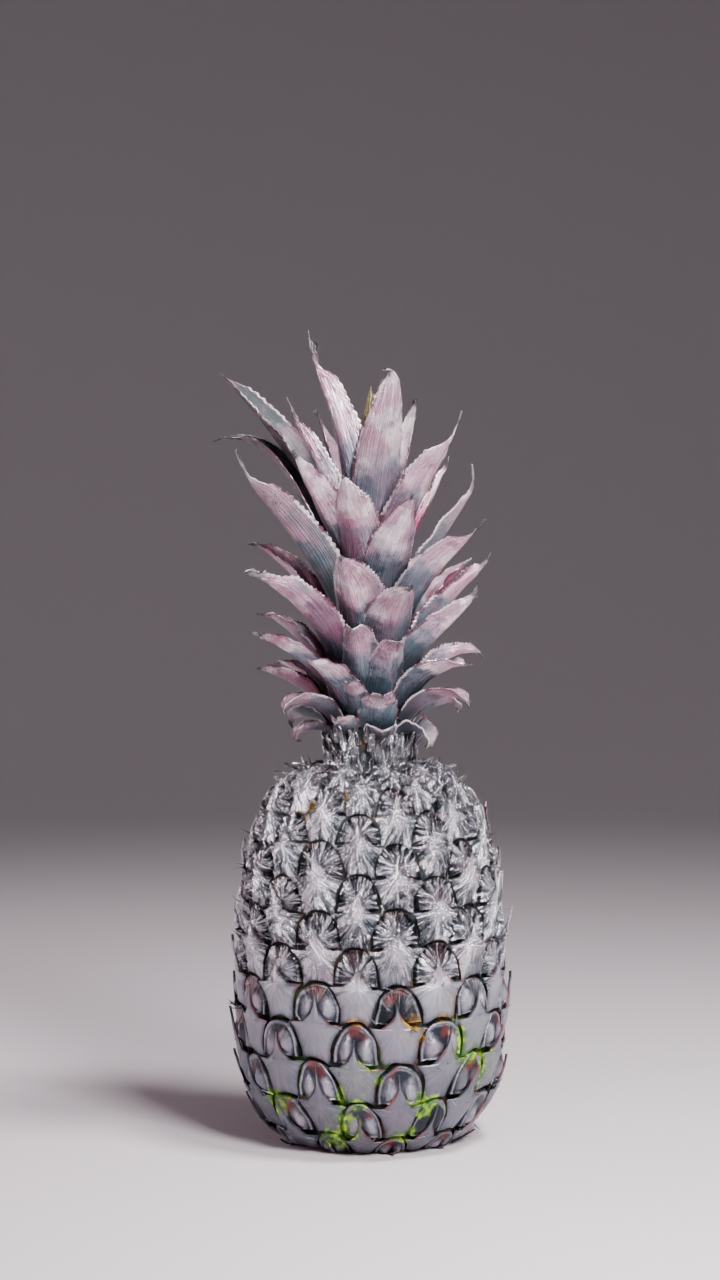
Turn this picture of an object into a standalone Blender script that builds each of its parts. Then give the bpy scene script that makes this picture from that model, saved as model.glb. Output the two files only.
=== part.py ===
"""Ornamental pineapple: a whole fruit with its leafy crown, sprayed silver, standing on its own base.

The fruit grew as one piece and is one solid, with its eyes in a diamond net round a barrel.
The crown's stem stands on the fruit. Each leaf is a thin curved blade that clasps the stem.
The front is -Y, +Z is up, and the origin is the middle of the cut stalk, on the surface it stands on.
An azimuth is 0 at the front and grows towards +X. Lengths are metres, and angles are degrees.
"""

import math
from collections import namedtuple

import bmesh
import bpy
from mathutils import Matrix, Quaternion, Vector
from mathutils.bvhtree import BVHTree
from mathutils.geometry import interpolate_bezier

MM = 0.001

# The fruit is a barrel: a superellipse below its widest ring and another above it, which also narrows.
FRUIT_RADIUS = 0.0575
WIDEST_HEIGHT = 0.062
LOWER_HALF_HEIGHT = 0.0687
LOWER_ROUNDNESS = 2.8
UPPER_HALF_HEIGHT = 0.101
UPPER_ROUNDNESS = 3.6
UPPER_NARROWING = 0.05
OUTLINE_STEPS = 160

# The eyes sit in rings, and each ring is turned by half an eye from the one below.
EYES_ROUND = 10
EYE_RINGS = 13
EYE_PHASE = 12.0
FIRST_RING = 0.0125
LOWEST_RING_PITCH = 0.0172
HIGHEST_RING_PITCH = 0.0108
GROOVE_WIDTH = 0.0020
EYE_RISE = 0.0036
EYE_DOME = 0.0014

# The stalk was cut flush with the base.
STALK_RADIUS = 0.0135
STALK_DEPTH = 0.009
STALK_SIDES = 20

# The crown's stem: a short bare neck, then a taper that the leaves clasp.
NECK_RADIUS = 0.0185
NECK_HEIGHT = 0.0125
STEM_TAPER_HEIGHT = 0.115
STEM_TAPER = 1.2
STEM_SIDES = 16
STEM_LEVELS = 9

# A leaf's blade. Places along it run from 0 at the root to 1 at the tip.
SEATING_GAP = 0.0003
LEAF_THICKNESS = 0.0012
LEAF_THINNING = 0.5
LEAF_CLEARANCE = 0.0003
LEAF_STATIONS = (0.0, 0.14, 0.3, 0.47, 0.65, 0.84)
LEAF_SIDE_STEPS = 4
CURVE_STEPS = 50
HANDLE_SHARE = 0.38
WIDEST_AT = 0.3
ROOT_CLASP = 18.0
TIP_BLUNTNESS = 2.4
BLADE_CUPPING = 38.0

# A leaf that would touch an inner one leans out by this many more degrees, and reaches as many
# millimetres further, until it is clear.
OPENING_STEP = 1.0

# Each leaf: azimuth of its root, root's height, tip's turn from that azimuth, tip's distance from the
# axis and height, width, lean from upright at the root and at the tip, and twist. Lengths are
# millimetres, and heights are above the crown's seat. The rows run down the crown, so each leaf wraps
# those before it.
LeafSize = namedtuple("LeafSize", "azimuth root turn reach tip width root_lean tip_lean twist")
LEAVES = (
    LeafSize(180, 92, 0, 11, 168, 15, 2, 8, 0),
    LeafSize(-42, 88, -25, 33, 189, 23, 7, 26, 0),
    LeafSize(70, 88, 0, 23, 167, 18, 6, 12, 0),
    LeafSize(130, 87, 0, 26, 156, 16, 11, 20, 0),
    LeafSize(-120, 86, 0, 28, 158, 16, 12, 21, 0),
    LeafSize(8, 84, 16, 27, 178, 24, 11, 16, 0),
    LeafSize(-76, 83, 0, 40, 160, 16, 14, 34, 8),
    LeafSize(-112, 80, 4, 71, 176, 25, 19, 42, -24),
    LeafSize(165, 79, 0, 30, 150, 21, 8, 24, 0),
    LeafSize(52, 78, 4, 49, 152, 23, 14, 34, -6),
    LeafSize(-150, 74, 0, 44, 146, 19, 17, 32, 0),
    LeafSize(100, 73, 0, 36, 136, 18, 16, 26, 0),
    LeafSize(-38, 72, -3, 50, 136, 23, 15, 30, 0),
    LeafSize(-10, 68, -4, 48, 124, 24, 22, 44, 0),
    LeafSize(136, 67, 0, 46, 134, 22, 16, 36, 0),
    LeafSize(-107, 66, 0, 74, 146, 17, 24, 96, -14),
    LeafSize(78, 64, 0, 51, 130, 18, 24, 30, 14),
    LeafSize(18, 61, 4, 46, 117, 24, 18, 34, 0),
    LeafSize(176, 60, 0, 50, 122, 23, 18, 40, 0),
    LeafSize(-62, 59, 0, 69, 134, 23, 24, 42, 10),
    LeafSize(-140, 55, 0, 56, 118, 23, 22, 46, 0),
    LeafSize(52, 54, 4, 59, 105, 25, 26, 56, -6),
    LeafSize(105, 50, 0, 46, 92, 20, 28, 44, 8),
    LeafSize(-110, 48, 0, 58, 100, 20, 28, 62, -10),
    LeafSize(-11, 46, -6, 46, 91, 25, 24, 52, 0),
    LeafSize(150, 46, 0, 56, 98, 23, 24, 52, 0),
    LeafSize(82, 44, 0, 54, 92, 21, 32, 44, 8),
    LeafSize(-55, 42, 0, 68, 86, 24, 32, 70, 8),
    LeafSize(-172, 41, 0, 56, 90, 23, 26, 56, 0),
    LeafSize(20, 39, 0, 48, 78, 24, 27, 62, 0),
    LeafSize(52, 37, 6, 56, 78, 23, 36, 40, 0),
    LeafSize(-142, 36, 0, 55, 74, 22, 32, 66, 0),
    LeafSize(120, 35, 0, 55, 76, 22, 32, 62, 0),
    LeafSize(-108, 34, 0, 53, 69, 18, 36, 64, 0),
    LeafSize(-74, 31, 0, 54, 60, 22, 38, 60, 0),
    LeafSize(90, 31, 0, 50, 49, 20, 40, 108, 0),
    LeafSize(-12, 30, 0, 42, 60, 23, 32, 88, 0),
    LeafSize(162, 29, 0, 52, 62, 23, 32, 76, 0),
    LeafSize(17, 27, 0, 44, 54, 23, 37, 86, 0),
    LeafSize(54, 26, 4, 51, 45, 23, 42, 88, 0),
    LeafSize(-125, 25, 0, 53, 46, 21, 40, 74, 0),
    LeafSize(-38, 24, -4, 43, 46, 23, 38, 82, 0),
    LeafSize(-96, 23, 0, 51, 43, 16, 46, 74, 0),
    LeafSize(130, 23, 0, 50, 44, 21, 42, 90, 0),
    LeafSize(-160, 22, 0, 51, 42, 18, 45, 94, 0),
    LeafSize(60, 20, 0, 50, 27, 19, 46, 132, 0),
    LeafSize(-62, 19.5, 0, 44, 24, 19, 46, 140, 0),
    LeafSize(-16, 21.5, 0, 37, 38, 11, 40, 66, 0),
    LeafSize(100, 18.5, 0, 42, 25, 16, 44, 130, 0),
    LeafSize(8, 16.5, 0, 36, 31, 20, 45, 92, 0),
    LeafSize(175, 17.5, 0, 38, 28, 19, 44, 118, 0),
    LeafSize(-110, 16.5, 0, 40, 17, 16, 46, 150, 0),
    LeafSize(-35, 15, 0, 28, 20, 14, 44, 105, 0),
    LeafSize(50, 14.5, 6, 32, 8, 15, 46, 168, 0),
    LeafSize(-78, 14, 0, 35, 10, 14, 46, 168, 0),
    LeafSize(140, 14, 0, 33, 13, 17, 46, 150, 0),
    LeafSize(12, 12.8, 0, 26, 15, 15, 50, 130, 0),
)

# An edge that turns more than this is drawn sharp.
SHARP_ANGLE = 32.0


def paint(name, colour, roughness, metallic):
    """A plain Principled material."""
    material = bpy.data.materials.new(name)
    material.use_nodes = True
    shader = material.node_tree.nodes["Principled BSDF"]
    shader.inputs["Base Color"].default_value = (*colour, 1.0)
    shader.inputs["Roughness"].default_value = roughness
    shader.inputs["Metallic"].default_value = metallic
    return material


def add_object(name, mesh_data, material, parent):
    """A named object from a finished bmesh, shaded smooth over its gentle edges."""
    bmesh.ops.recalc_face_normals(mesh_data, faces=mesh_data.faces)
    mesh = bpy.data.meshes.new(name)
    mesh_data.to_mesh(mesh)
    mesh_data.free()
    mesh.shade_smooth()
    mesh.set_sharp_from_angle(angle=math.radians(SHARP_ANGLE))
    mesh.materials.append(material)
    made = bpy.data.objects.new(name, mesh)
    bpy.context.scene.collection.objects.link(made)
    made.parent = parent
    return made


def add_empty(name, height, parent=None):
    """An empty on the fruit's axis."""
    made = bpy.data.objects.new(name, None)
    bpy.context.scene.collection.objects.link(made)
    made.location.z = height
    made.parent = parent
    return made


def outward(azimuth):
    """The level direction at an azimuth in degrees."""
    angle = math.radians(azimuth)
    return Vector((math.sin(angle), -math.cos(angle), 0.0))


def barrel_outline():
    """(radius, height) points up the fruit's side, from the base's rim to the crown's seat."""
    floor_angle = math.asin((WIDEST_HEIGHT / LOWER_HALF_HEIGHT) ** (LOWER_ROUNDNESS / 2))
    top_radius = FRUIT_RADIUS * (1 - UPPER_NARROWING)
    seat_angle = math.acos((NECK_RADIUS / top_radius) ** (UPPER_ROUNDNESS / 2))
    points = []
    for step in range(OUTLINE_STEPS + 1):
        angle = -floor_angle + (floor_angle + seat_angle) * step / OUTLINE_STEPS
        roundness = LOWER_ROUNDNESS if angle < 0 else UPPER_ROUNDNESS
        half_height = LOWER_HALF_HEIGHT if angle < 0 else UPPER_HALF_HEIGHT
        rise = math.copysign(abs(math.sin(angle)) ** (2 / roundness), angle)
        narrowing = UPPER_NARROWING * max(rise, 0.0)
        radius = FRUIT_RADIUS * (1 - narrowing) * math.cos(angle) ** (2 / roundness)
        points.append(Vector((radius, WIDEST_HEIGHT + half_height * rise)))
    return points


def ring_places(outline):
    """(radius, height) of each ring of the net, evenly graded from the base's rim to the seat."""
    lengths = [0.0]
    for first, second in zip(outline, outline[1:]):
        lengths.append(lengths[-1] + (second - first).length)
    wanted = [0.0, FIRST_RING]
    for ring in range(2, EYE_RINGS + 1):
        share = (ring - 2) / (EYE_RINGS - 2)
        wanted.append(wanted[-1] + LOWEST_RING_PITCH * (1 - share) + HIGHEST_RING_PITCH * share)
    stretch = lengths[-1] / wanted[-1]
    places = []
    for length in wanted:
        step = next((i for i, at in enumerate(lengths) if at >= length * stretch), OUTLINE_STEPS)
        places.append(outline[step])
    places[-1] = outline[-1]
    return places


def circle_of_verts(mesh_data, count, radius, height, first_azimuth):
    return [
        mesh_data.verts.new(outward(first_azimuth + 360 * i / count) * radius + Vector((0, 0, height)))
        for i in range(count)
    ]


def edges_round(mesh_data, verts):
    """The closed loop of edges through verts, made where it is missing."""
    pairs = zip(verts, verts[1:] + verts[:1])
    return [mesh_data.edges.get(pair) or mesh_data.edges.new(pair) for pair in pairs]


def make_fruit(material, parent):
    """The barrel as a net of diamonds, each raised to a shallow eye, with a socket for the stalk.

    The fruit's weight flattens the lowest eyes into the plane of the base."""
    net = bmesh.new()
    half = 180 / EYES_ROUND
    rings = [
        circle_of_verts(net, EYES_ROUND, place.x, place.y, EYE_PHASE + half * (ring % 2 + 1))
        for ring, place in enumerate(ring_places(barrel_outline()))
    ]
    eyes = []
    for ring in range(EYE_RINGS + 1):
        for i in range(EYES_ROUND):
            left, right = rings[ring][i - 1], rings[ring][i]
            across = (i - 1 + ring % 2) % EYES_ROUND
            below = [rings[ring - 1][across]] if ring > 0 else []
            above = [rings[ring + 1][across]] if ring < EYE_RINGS else []
            face = net.faces.new([*below, right, *above, left])
            if below and above:
                eyes.append(face)
    net.normal_update()
    bmesh.ops.inset_individual(net, faces=eyes, thickness=GROOVE_WIDTH, depth=EYE_RISE)
    bmesh.ops.poke(net, faces=eyes, offset=EYE_DOME, center_mode="MEAN")
    for vert in net.verts:
        vert.co.z = max(vert.co.z, 0.0)
    net.faces.new(rings[EYE_RINGS])
    socket_radius = STALK_RADIUS + SEATING_GAP
    mouth = circle_of_verts(net, STALK_SIDES, socket_radius, 0.0, EYE_PHASE)
    end = circle_of_verts(net, STALK_SIDES, socket_radius, STALK_DEPTH + SEATING_GAP, EYE_PHASE)
    bmesh.ops.bridge_loops(net, edges=edges_round(net, rings[0]) + edges_round(net, mouth))
    bmesh.ops.bridge_loops(net, edges=edges_round(net, mouth) + edges_round(net, end))
    net.faces.new(end)
    return add_object("fruit", net, material, parent)


def make_stalk(material, parent):
    """The cut end of the stalk, flush with the base."""
    stub = bmesh.new()
    bmesh.ops.create_cone(
        stub,
        cap_ends=True,
        segments=STALK_SIDES,
        radius1=STALK_RADIUS,
        radius2=STALK_RADIUS,
        depth=STALK_DEPTH,
        matrix=Matrix.Translation((0, 0, STALK_DEPTH / 2)) @ Matrix.Rotation(math.radians(EYE_PHASE), 4, "Z"),
    )
    return add_object("cut_stalk", stub, material, parent)


def stem_radius(height):
    """The stem's radius at a height above the crown's seat."""
    share = (height - NECK_HEIGHT) / STEM_TAPER_HEIGHT
    return NECK_RADIUS * (1 - min(1.0, max(0.0, share)) ** STEM_TAPER)


def make_stem(material, parent):
    """The neck and the tapered stem, turned round the axis."""
    turned = bmesh.new()
    heights = [NECK_HEIGHT + STEM_TAPER_HEIGHT * level / STEM_LEVELS for level in range(STEM_LEVELS)]
    rims = [
        circle_of_verts(turned, STEM_SIDES, stem_radius(height), height, 0.0)
        for height in [0.0, *heights]
    ]
    for lower, upper in zip(rims, rims[1:]):
        bmesh.ops.bridge_loops(turned, edges=edges_round(turned, lower) + edges_round(turned, upper))
    turned.faces.new(rims[0])
    point = turned.verts.new((0, 0, NECK_HEIGHT + STEM_TAPER_HEIGHT))
    for first, second in zip(rims[-1], rims[-1][1:] + rims[-1][:1]):
        turned.faces.new((first, second, point))
    return add_object("crown_stem", turned, material, parent)


def leaf_half_width(place, widest, at_root):
    """Half the blade's width: it swells from the root to its widest, then narrows to a point."""
    if place < WIDEST_AT:
        return at_root + (widest - at_root) * math.sin(math.pi / 2 * place / WIDEST_AT)
    return widest * (1 - ((place - WIDEST_AT) / (1 - WIDEST_AT)) ** TIP_BLUNTNESS)


def leaf_line(size, clasp_radius, opening):
    """Points along the blade, from its root at (0, -clasp radius, root's height) to its tip."""
    root = Vector((0, -clasp_radius, size.root * MM))
    reach = outward(size.turn) * (size.reach + opening) * MM
    tip = reach + Vector((0, 0, size.tip * MM))
    handle = (tip - root).length * HANDLE_SHARE
    root_lean = math.radians(size.root_lean + opening)
    tip_lean = math.radians(size.tip_lean + opening)
    leaving = outward(0) * math.sin(root_lean) + Vector((0, 0, math.cos(root_lean)))
    arriving = outward(size.turn) * math.sin(tip_lean) + Vector((0, 0, math.cos(tip_lean)))
    return interpolate_bezier(root, root + leaving * handle, tip - arriving * handle, tip, CURVE_STEPS + 1)


def leaf_section(place, angle, half_width, frame):
    """The corners round the blade at one place: an arc's outer side, then its inner side back again."""
    point, across, inward = frame
    radius = half_width / angle
    sides = {True: [], False: []}
    for outer, side in sides.items():
        for step in range(LEAF_SIDE_STEPS + 1):
            share = 2 * step / LEAF_SIDE_STEPS - 1
            thickness = LEAF_THICKNESS * (1 - share**2) * (1 - LEAF_THINNING * place)
            reach = radius + (thickness if outer else 0.0)
            sideways = reach * math.sin(angle * share)
            rise = radius - reach * math.cos(angle * share)
            side.append(point + across * sideways + inward * rise)
    return sides[True] + sides[False][-2:0:-1]


def leaf_mesh(size, opening):
    """One blade: its section is an arc, which clasps the stem at the root and has its own curve beyond."""
    clasp_radius = stem_radius(size.root * MM) + SEATING_GAP
    line = leaf_line(size, clasp_radius, opening)
    widest = size.width / 2 * MM
    clasp_angle = min(widest / clasp_radius, math.radians(ROOT_CLASP))
    blade = bmesh.new()
    rings = []
    for place in LEAF_STATIONS:
        step = round(place * CURVE_STEPS)
        along = (line[step + 1] - line[max(step - 1, 0)]).normalized()
        turn = math.radians(size.turn * place)
        level = Vector((math.cos(turn), math.sin(turn), 0.0))
        inward = Quaternion(along, math.radians(size.twist * place)) @ along.cross(level).normalized()
        half_width = leaf_half_width(place, widest, clasp_angle * clasp_radius)
        loosened = min(1.0, place / WIDEST_AT)
        angle = clasp_angle * (1 - loosened) + math.radians(BLADE_CUPPING) * loosened
        corners = leaf_section(place, angle, half_width, (line[step], inward.cross(along), inward))
        rings.append([blade.verts.new(corner) for corner in corners])
    for lower, upper in zip(rings, rings[1:]):
        for i in range(len(lower)):
            blade.faces.new((lower[i - 1], lower[i], upper[i], upper[i - 1]))
    blade.faces.new(rings[0])
    tip = blade.verts.new(line[-1])
    for i in range(len(rings[-1])):
        blade.faces.new((rings[-1][i - 1], rings[-1][i], tip))
    blade.transform(Matrix.Rotation(math.radians(size.azimuth), 4, "Z"))
    return blade


def is_clear(blade, tree, others):
    """Whether a blade stays clear of every blade made before it."""
    for other, other_tree in others:
        if tree.overlap(other_tree):
            return False
        for corners, surface in ((blade.verts, other_tree), (other.verts, tree)):
            if any(surface.find_nearest(v.co, LEAF_CLEARANCE)[0] for v in corners):
                return False
    return True


def grow_leaves():
    """Every blade's mesh. A blade that would touch an inner one is pushed out until it is clear."""
    grown = []
    for size in LEAVES:
        opening = 0.0
        blade = leaf_mesh(size, opening)
        tree = BVHTree.FromBMesh(blade)
        while not is_clear(blade, tree, grown):
            blade.free()
            opening += OPENING_STEP
            blade = leaf_mesh(size, opening)
            tree = BVHTree.FromBMesh(blade)
        grown.append((blade, tree))
    return [blade for blade, tree in grown]


def main():
    for left_over in list(bpy.data.objects):
        bpy.data.objects.remove(left_over)
    rind = paint("silver_rind", (0.62, 0.60, 0.65), 0.38, 0.55)
    bark = paint("silver_neck", (0.55, 0.57, 0.60), 0.45, 0.5)
    blade = paint("silver_leaf", (0.66, 0.62, 0.68), 0.48, 0.3)
    dry = paint("dry_stalk", (0.42, 0.30, 0.19), 0.85, 0.0)
    pineapple = add_empty("pineapple", 0.0)
    make_fruit(rind, pineapple)
    make_stalk(dry, pineapple)
    seat_height = barrel_outline()[-1].y + SEATING_GAP
    crown = add_empty("crown", seat_height, pineapple)
    make_stem(bark, crown)
    for number, mesh_data in enumerate(grow_leaves(), start=1):
        add_object(f"crown_leaf_{number:02d}", mesh_data, blade, crown)


main()
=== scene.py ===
# %% [markdown]
# # A sprayed silver pineapple
# A whole pineapple stands on its own flattened base. Fruit and crown were sprayed with a lilac silver
# paint, which lies smooth and satin low down and wrinkles like foil near the shoulder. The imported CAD
# model is the frame: every piece below is made at the place and size that it gives, then rides on it.

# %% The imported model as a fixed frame
import bisect
import math
import random

import bmesh
import bpy
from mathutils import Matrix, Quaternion, Vector, noise


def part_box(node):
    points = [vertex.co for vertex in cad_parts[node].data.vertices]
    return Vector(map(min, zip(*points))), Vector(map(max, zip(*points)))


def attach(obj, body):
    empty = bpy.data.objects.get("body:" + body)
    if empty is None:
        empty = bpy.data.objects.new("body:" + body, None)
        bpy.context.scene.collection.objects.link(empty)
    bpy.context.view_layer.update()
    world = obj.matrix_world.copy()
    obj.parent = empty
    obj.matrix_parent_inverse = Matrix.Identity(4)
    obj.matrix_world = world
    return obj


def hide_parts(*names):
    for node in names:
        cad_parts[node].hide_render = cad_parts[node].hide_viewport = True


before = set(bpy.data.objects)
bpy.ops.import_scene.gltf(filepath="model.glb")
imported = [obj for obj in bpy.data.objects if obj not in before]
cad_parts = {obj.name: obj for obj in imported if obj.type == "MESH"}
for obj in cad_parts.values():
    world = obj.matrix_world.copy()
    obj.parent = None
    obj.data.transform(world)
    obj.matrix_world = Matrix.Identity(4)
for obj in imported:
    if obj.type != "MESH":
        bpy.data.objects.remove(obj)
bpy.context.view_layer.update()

MM = 0.001
SEED = 41
noise.seed_set(SEED)
crown_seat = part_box("crown_stem")[0].z

# %% [markdown]
# ## The camera and the studio
# The fruit is seen level, from a metre away, a little above the middle of its crown. A longer lens
# than normal keeps the crown's leaves in proportion. Two small soft lights stand close by, one at the
# upper right and one over the crown, so their light falls off quickly and the paint glints. A narrow
# pink one fills from the left, another rims the crown from behind, and a faint wash opens the shadows.

# %% The camera
camera_data = bpy.data.cameras.new("camera")
camera_data.lens = 63.9
camera_data.sensor_width = 36.0
camera = bpy.data.objects.new("camera", camera_data)
camera.location = (-0.0048, -1.0, 0.2178)
camera.rotation_euler = (math.radians(90), 0, 0)
bpy.context.scene.collection.objects.link(camera)
bpy.context.scene.camera = camera


# %% The lights
def soft_light(name, place, size, watts, tint):
    """A rectangular area light that faces the middle of the fruit."""
    lamp = bpy.data.lights.new(name, "AREA")
    lamp.shape = "RECTANGLE"
    lamp.size, lamp.size_y = size
    lamp.energy = watts
    lamp.color = tint
    made = bpy.data.objects.new(name, lamp)
    made.location = place
    towards = Vector((0, 0, 0.17)) - Vector(place)
    made.rotation_euler = towards.to_track_quat("-Z", "Y").to_euler()
    bpy.context.scene.collection.objects.link(made)


soft_light("key", (0.24, -0.48, 0.46), (0.16, 0.22), 9.0, (1.0, 0.97, 0.98))
soft_light("overhead", (0.30, -0.20, 0.95), (0.18, 0.18), 14.0, (1.0, 0.96, 0.98))
soft_light("fill", (-0.80, -0.75, 0.25), (0.08, 0.90), 1.6, (1.0, 0.55, 0.74))
soft_light("rim", (-0.90, 0.55, 0.25), (0.20, 0.60), 5.0, (1.0, 0.84, 0.91))
wash = bpy.data.lights.new("wash", "SUN")
wash.energy = 0.25
wash.angle = math.radians(60)
wash_light = bpy.data.objects.new("wash", wash)
wash_light.rotation_euler = (math.radians(40), 0, 0)
bpy.context.scene.collection.objects.link(wash_light)

# %% The air round the studio
world = bpy.data.worlds.new("studio")
bpy.context.scene.world = world
world.use_nodes = True
studio_air = world.node_tree.nodes["Background"]
backdrop = world.node_tree.nodes.new("ShaderNodeBackground")
seen_directly = world.node_tree.nodes.new("ShaderNodeLightPath").outputs["Is Camera Ray"]
either = world.node_tree.nodes.new("ShaderNodeMixShader")
for socket, source in enumerate((seen_directly, studio_air.outputs[0], backdrop.outputs[0])):
    world.node_tree.links.new(source, either.inputs[socket])
world.node_tree.links.new(either.outputs[0], world.node_tree.nodes["World Output"].inputs["Surface"])
studio_air.inputs["Color"].default_value = (0.80, 0.66, 0.73, 1.0)
studio_air.inputs["Strength"].default_value = 0.05
backdrop.inputs["Color"].default_value = (0.25, 0.22, 0.235, 1.0)


# %% [markdown]
# ## Small helpers
# An operator acts on whatever is selected, so each helper first puts Blender into a known state:
# object mode, nothing selected, then only the piece that it works on.

# %% Selecting, modifiers and finished pieces
def take(*objects):
    """Only these objects are selected, and the first one is active."""
    if bpy.context.object and bpy.context.object.mode != "OBJECT":
        bpy.ops.object.mode_set(mode="OBJECT")
    bpy.ops.object.select_all(action="DESELECT")
    for chosen in objects:
        chosen.select_set(True)
    bpy.context.view_layer.objects.active = objects[0]


def started(name):
    """The primitive that an operator has just added, named."""
    made = bpy.context.object
    made.name = name
    return made


def edit_where(piece, test):
    """Opens a piece for editing with only the vertices that pass the test selected."""
    take(piece)
    bpy.ops.object.mode_set(mode="EDIT")
    bpy.ops.mesh.select_mode(type="VERT")
    bpy.ops.mesh.select_all(action="DESELECT")
    net = bmesh.from_edit_mesh(piece.data)
    for vert in net.verts:
        vert.select = test(vert.co)
    net.select_flush(True)
    bmesh.update_edit_mesh(piece.data)


def grid_rows(grid):
    """The heights of a grid's rows, from the lowest up."""
    return sorted({round(vert.co.y, 7) for vert in grid.data.vertices})


def edit_row(grid, height, least_across=0.0):
    """Opens a grid for editing with one row selected, or only its ends, from some way across."""
    edit_where(grid, lambda place: abs(place.y - height) < 1e-5 and abs(place.x) >= least_across)


def flat_map(pattern):
    """The pattern's UV map, under the name that the finishes read."""
    held = pattern.data.uv_layers[0] if pattern.data.uv_layers else pattern.data.uv_layers.new()
    held.name = "place"
    return held


def finish_with(piece, kind, **settings):
    """Adds a modifier and applies it at once."""
    take(piece)
    modifier = piece.modifiers.new(kind.title(), kind)
    for setting, value in settings.items():
        setattr(modifier, setting, value)
    bpy.ops.object.modifier_apply(modifier=modifier.name)


def face_outwards(piece):
    """Turns every face of a closed piece outwards."""
    take(piece)
    bpy.ops.object.mode_set(mode="EDIT")
    bpy.ops.mesh.select_all(action="SELECT")
    bpy.ops.mesh.normals_make_consistent(inside=False)
    bpy.ops.object.mode_set(mode="OBJECT")


def own_copy(pattern, name):
    """A copy of a pattern with a mesh of its own."""
    made = pattern.copy()
    made.data = pattern.data.copy()
    made.name = name
    bpy.context.scene.collection.objects.link(made)
    return made


def write_value(piece, name, values):
    """Keeps one number for each vertex, for a material to read."""
    held = piece.data.attributes.get(name) or piece.data.attributes.new(name, "FLOAT", "POINT")
    held.data.foreach_set("value", values)


def joined(parts, name):
    """Several objects made into one piece."""
    take(*parts)
    bpy.ops.object.join()
    piece = bpy.context.object
    piece.name = name
    piece.data.name = name
    return piece


def finish_piece(piece, materials, replaced, angle=40):
    """Gives a piece its materials and smooth shading, and fastens it to the frame."""
    take(piece)
    bpy.ops.object.shade_smooth_by_angle(angle=math.radians(angle))
    for place, material in enumerate(materials):
        if place < len(piece.data.materials):
            piece.data.materials[place] = material
        else:
            piece.data.materials.append(material)
    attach(piece, "root")
    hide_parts(*replaced)


# %% [markdown]
# ## Building materials from nodes
# Each finish is a tree of shader nodes. A wire stands for a value that changes over the surface, and
# arithmetic with wires adds the nodes that do the sum, so each finish below reads like a recipe. New
# nodes go into the tree on the bench, which is the one that was started last.

# %% Nodes
bench = {}


class Wire:
    """A value that changes over the surface. Arithmetic with it adds the nodes that work it out."""

    def __init__(self, socket):
        self.socket = socket

    def __add__(self, other):
        return calc("ADD", self, other)

    def __sub__(self, other):
        return calc("SUBTRACT", self, other)

    def __rsub__(self, other):
        return calc("SUBTRACT", other, self)

    def __mul__(self, other):
        return calc("MULTIPLY", self, other)

    def __rtruediv__(self, other):
        return calc("DIVIDE", other, self)

    def __pow__(self, other):
        return calc("POWER", self, other)

    def __abs__(self):
        return calc("ABSOLUTE", self)


class Outputs:
    """The outputs of a node, each of which is read as a wire."""

    def __init__(self, sockets):
        self.sockets = sockets

    def __getitem__(self, name):
        return Wire(self.sockets[name])


def connect(value, socket):
    """Joins a wire to a socket, or sets the socket to a fixed number or colour."""
    if isinstance(value, Wire):
        bench["tree"].links.new(value.socket, socket)
    else:
        socket.default_value = value


def add_node(kind, inputs=(), **settings):
    """A shader node on the bench. Each input is a number, a colour or a wire."""
    made = bench["tree"].nodes.new("ShaderNode" + kind)
    for setting, value in settings.items():
        setattr(made, setting, value)
    for socket, value in dict(inputs).items():
        connect(value, made.inputs[socket])
    return Outputs(made.outputs)


def calc(operation, first, second=0.0, clamp=False):
    """One step of arithmetic."""
    return add_node("Math", {0: first, 1: second}, operation=operation, use_clamp=clamp)[0]


def vector_calc(operation, first, second):
    """One step of arithmetic with places or directions."""
    return add_node("VectorMath", {0: first, 1: second}, operation=operation)[0]


def between(value, low, high):
    """0 below low and 1 above high, smooth between them. It runs backwards if low is above high."""
    sockets = {"Value": value, "From Min": low, "From Max": high}
    return add_node("MapRange", sockets, interpolation_type="SMOOTHSTEP")["Result"]


def blend_colours(share, first, second):
    """The first colour where the share is 0, and the second where it is 1."""
    return add_node("Mix", {0: share, 6: first, 7: second}, data_type="RGBA")[2]


def mottle(vector, scale, detail=3.0, roughness=0.55):
    """Cloudy noise, about 0.5 on average."""
    sockets = {"Vector": vector, "Scale": scale, "Detail": detail, "Roughness": roughness}
    return add_node("TexNoise", sockets)["Fac"]


def attribute(name):
    """The number that a mesh keeps for each of its vertices under this name."""
    return add_node("Attribute", attribute_name=name)["Fac"]


def new_group(name, inputs, outputs):
    """Starts a node group on the bench. Returns it, its inputs as wires and its output sockets."""
    group = bpy.data.node_groups.new(name, "ShaderNodeTree")
    bench["tree"] = group
    for label, kind in inputs:
        group.interface.new_socket(label, in_out="INPUT", socket_type="NodeSocket" + kind)
    for label, kind in outputs:
        group.interface.new_socket(label, in_out="OUTPUT", socket_type="NodeSocket" + kind)
    given = Outputs(group.nodes.new("NodeGroupInput").outputs)
    return group, given, group.nodes.new("NodeGroupOutput").inputs


def use_group(group, inputs):
    """A copy of a node group on the bench."""
    return add_node("Group", inputs, node_tree=group)


def new_material(name):
    """Starts a material on the bench. Returns it and its Principled shader."""
    material = bpy.data.materials.new(name)
    material.use_nodes = True
    bench["tree"] = material.node_tree
    return material, material.node_tree.nodes["Principled BSDF"]


def feed(shader, colour, roughness, metallic, height, depth):
    """Joins the values of a finish to its shader. The height, times the depth in metres, is its relief."""
    bump = add_node("Bump", {"Strength": 1.0, "Distance": depth, "Height": height})
    connect(colour, shader.inputs["Base Color"])
    connect(roughness, shader.inputs["Roughness"])
    connect(metallic, shader.inputs["Metallic"])
    connect(bump["Normal"], shader.inputs["Normal"])


# %% [markdown]
# ## Four effects that the finishes share
# Sprayed metal paint on a dry plant shows the same four things everywhere. It wrinkles into sharp
# little folds, it follows the fibres beneath, it leaves dark specks where it missed, and its colour
# drifts between lilac, pink and a cool teal grey. Each effect is a node group, used in every finish.

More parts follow.
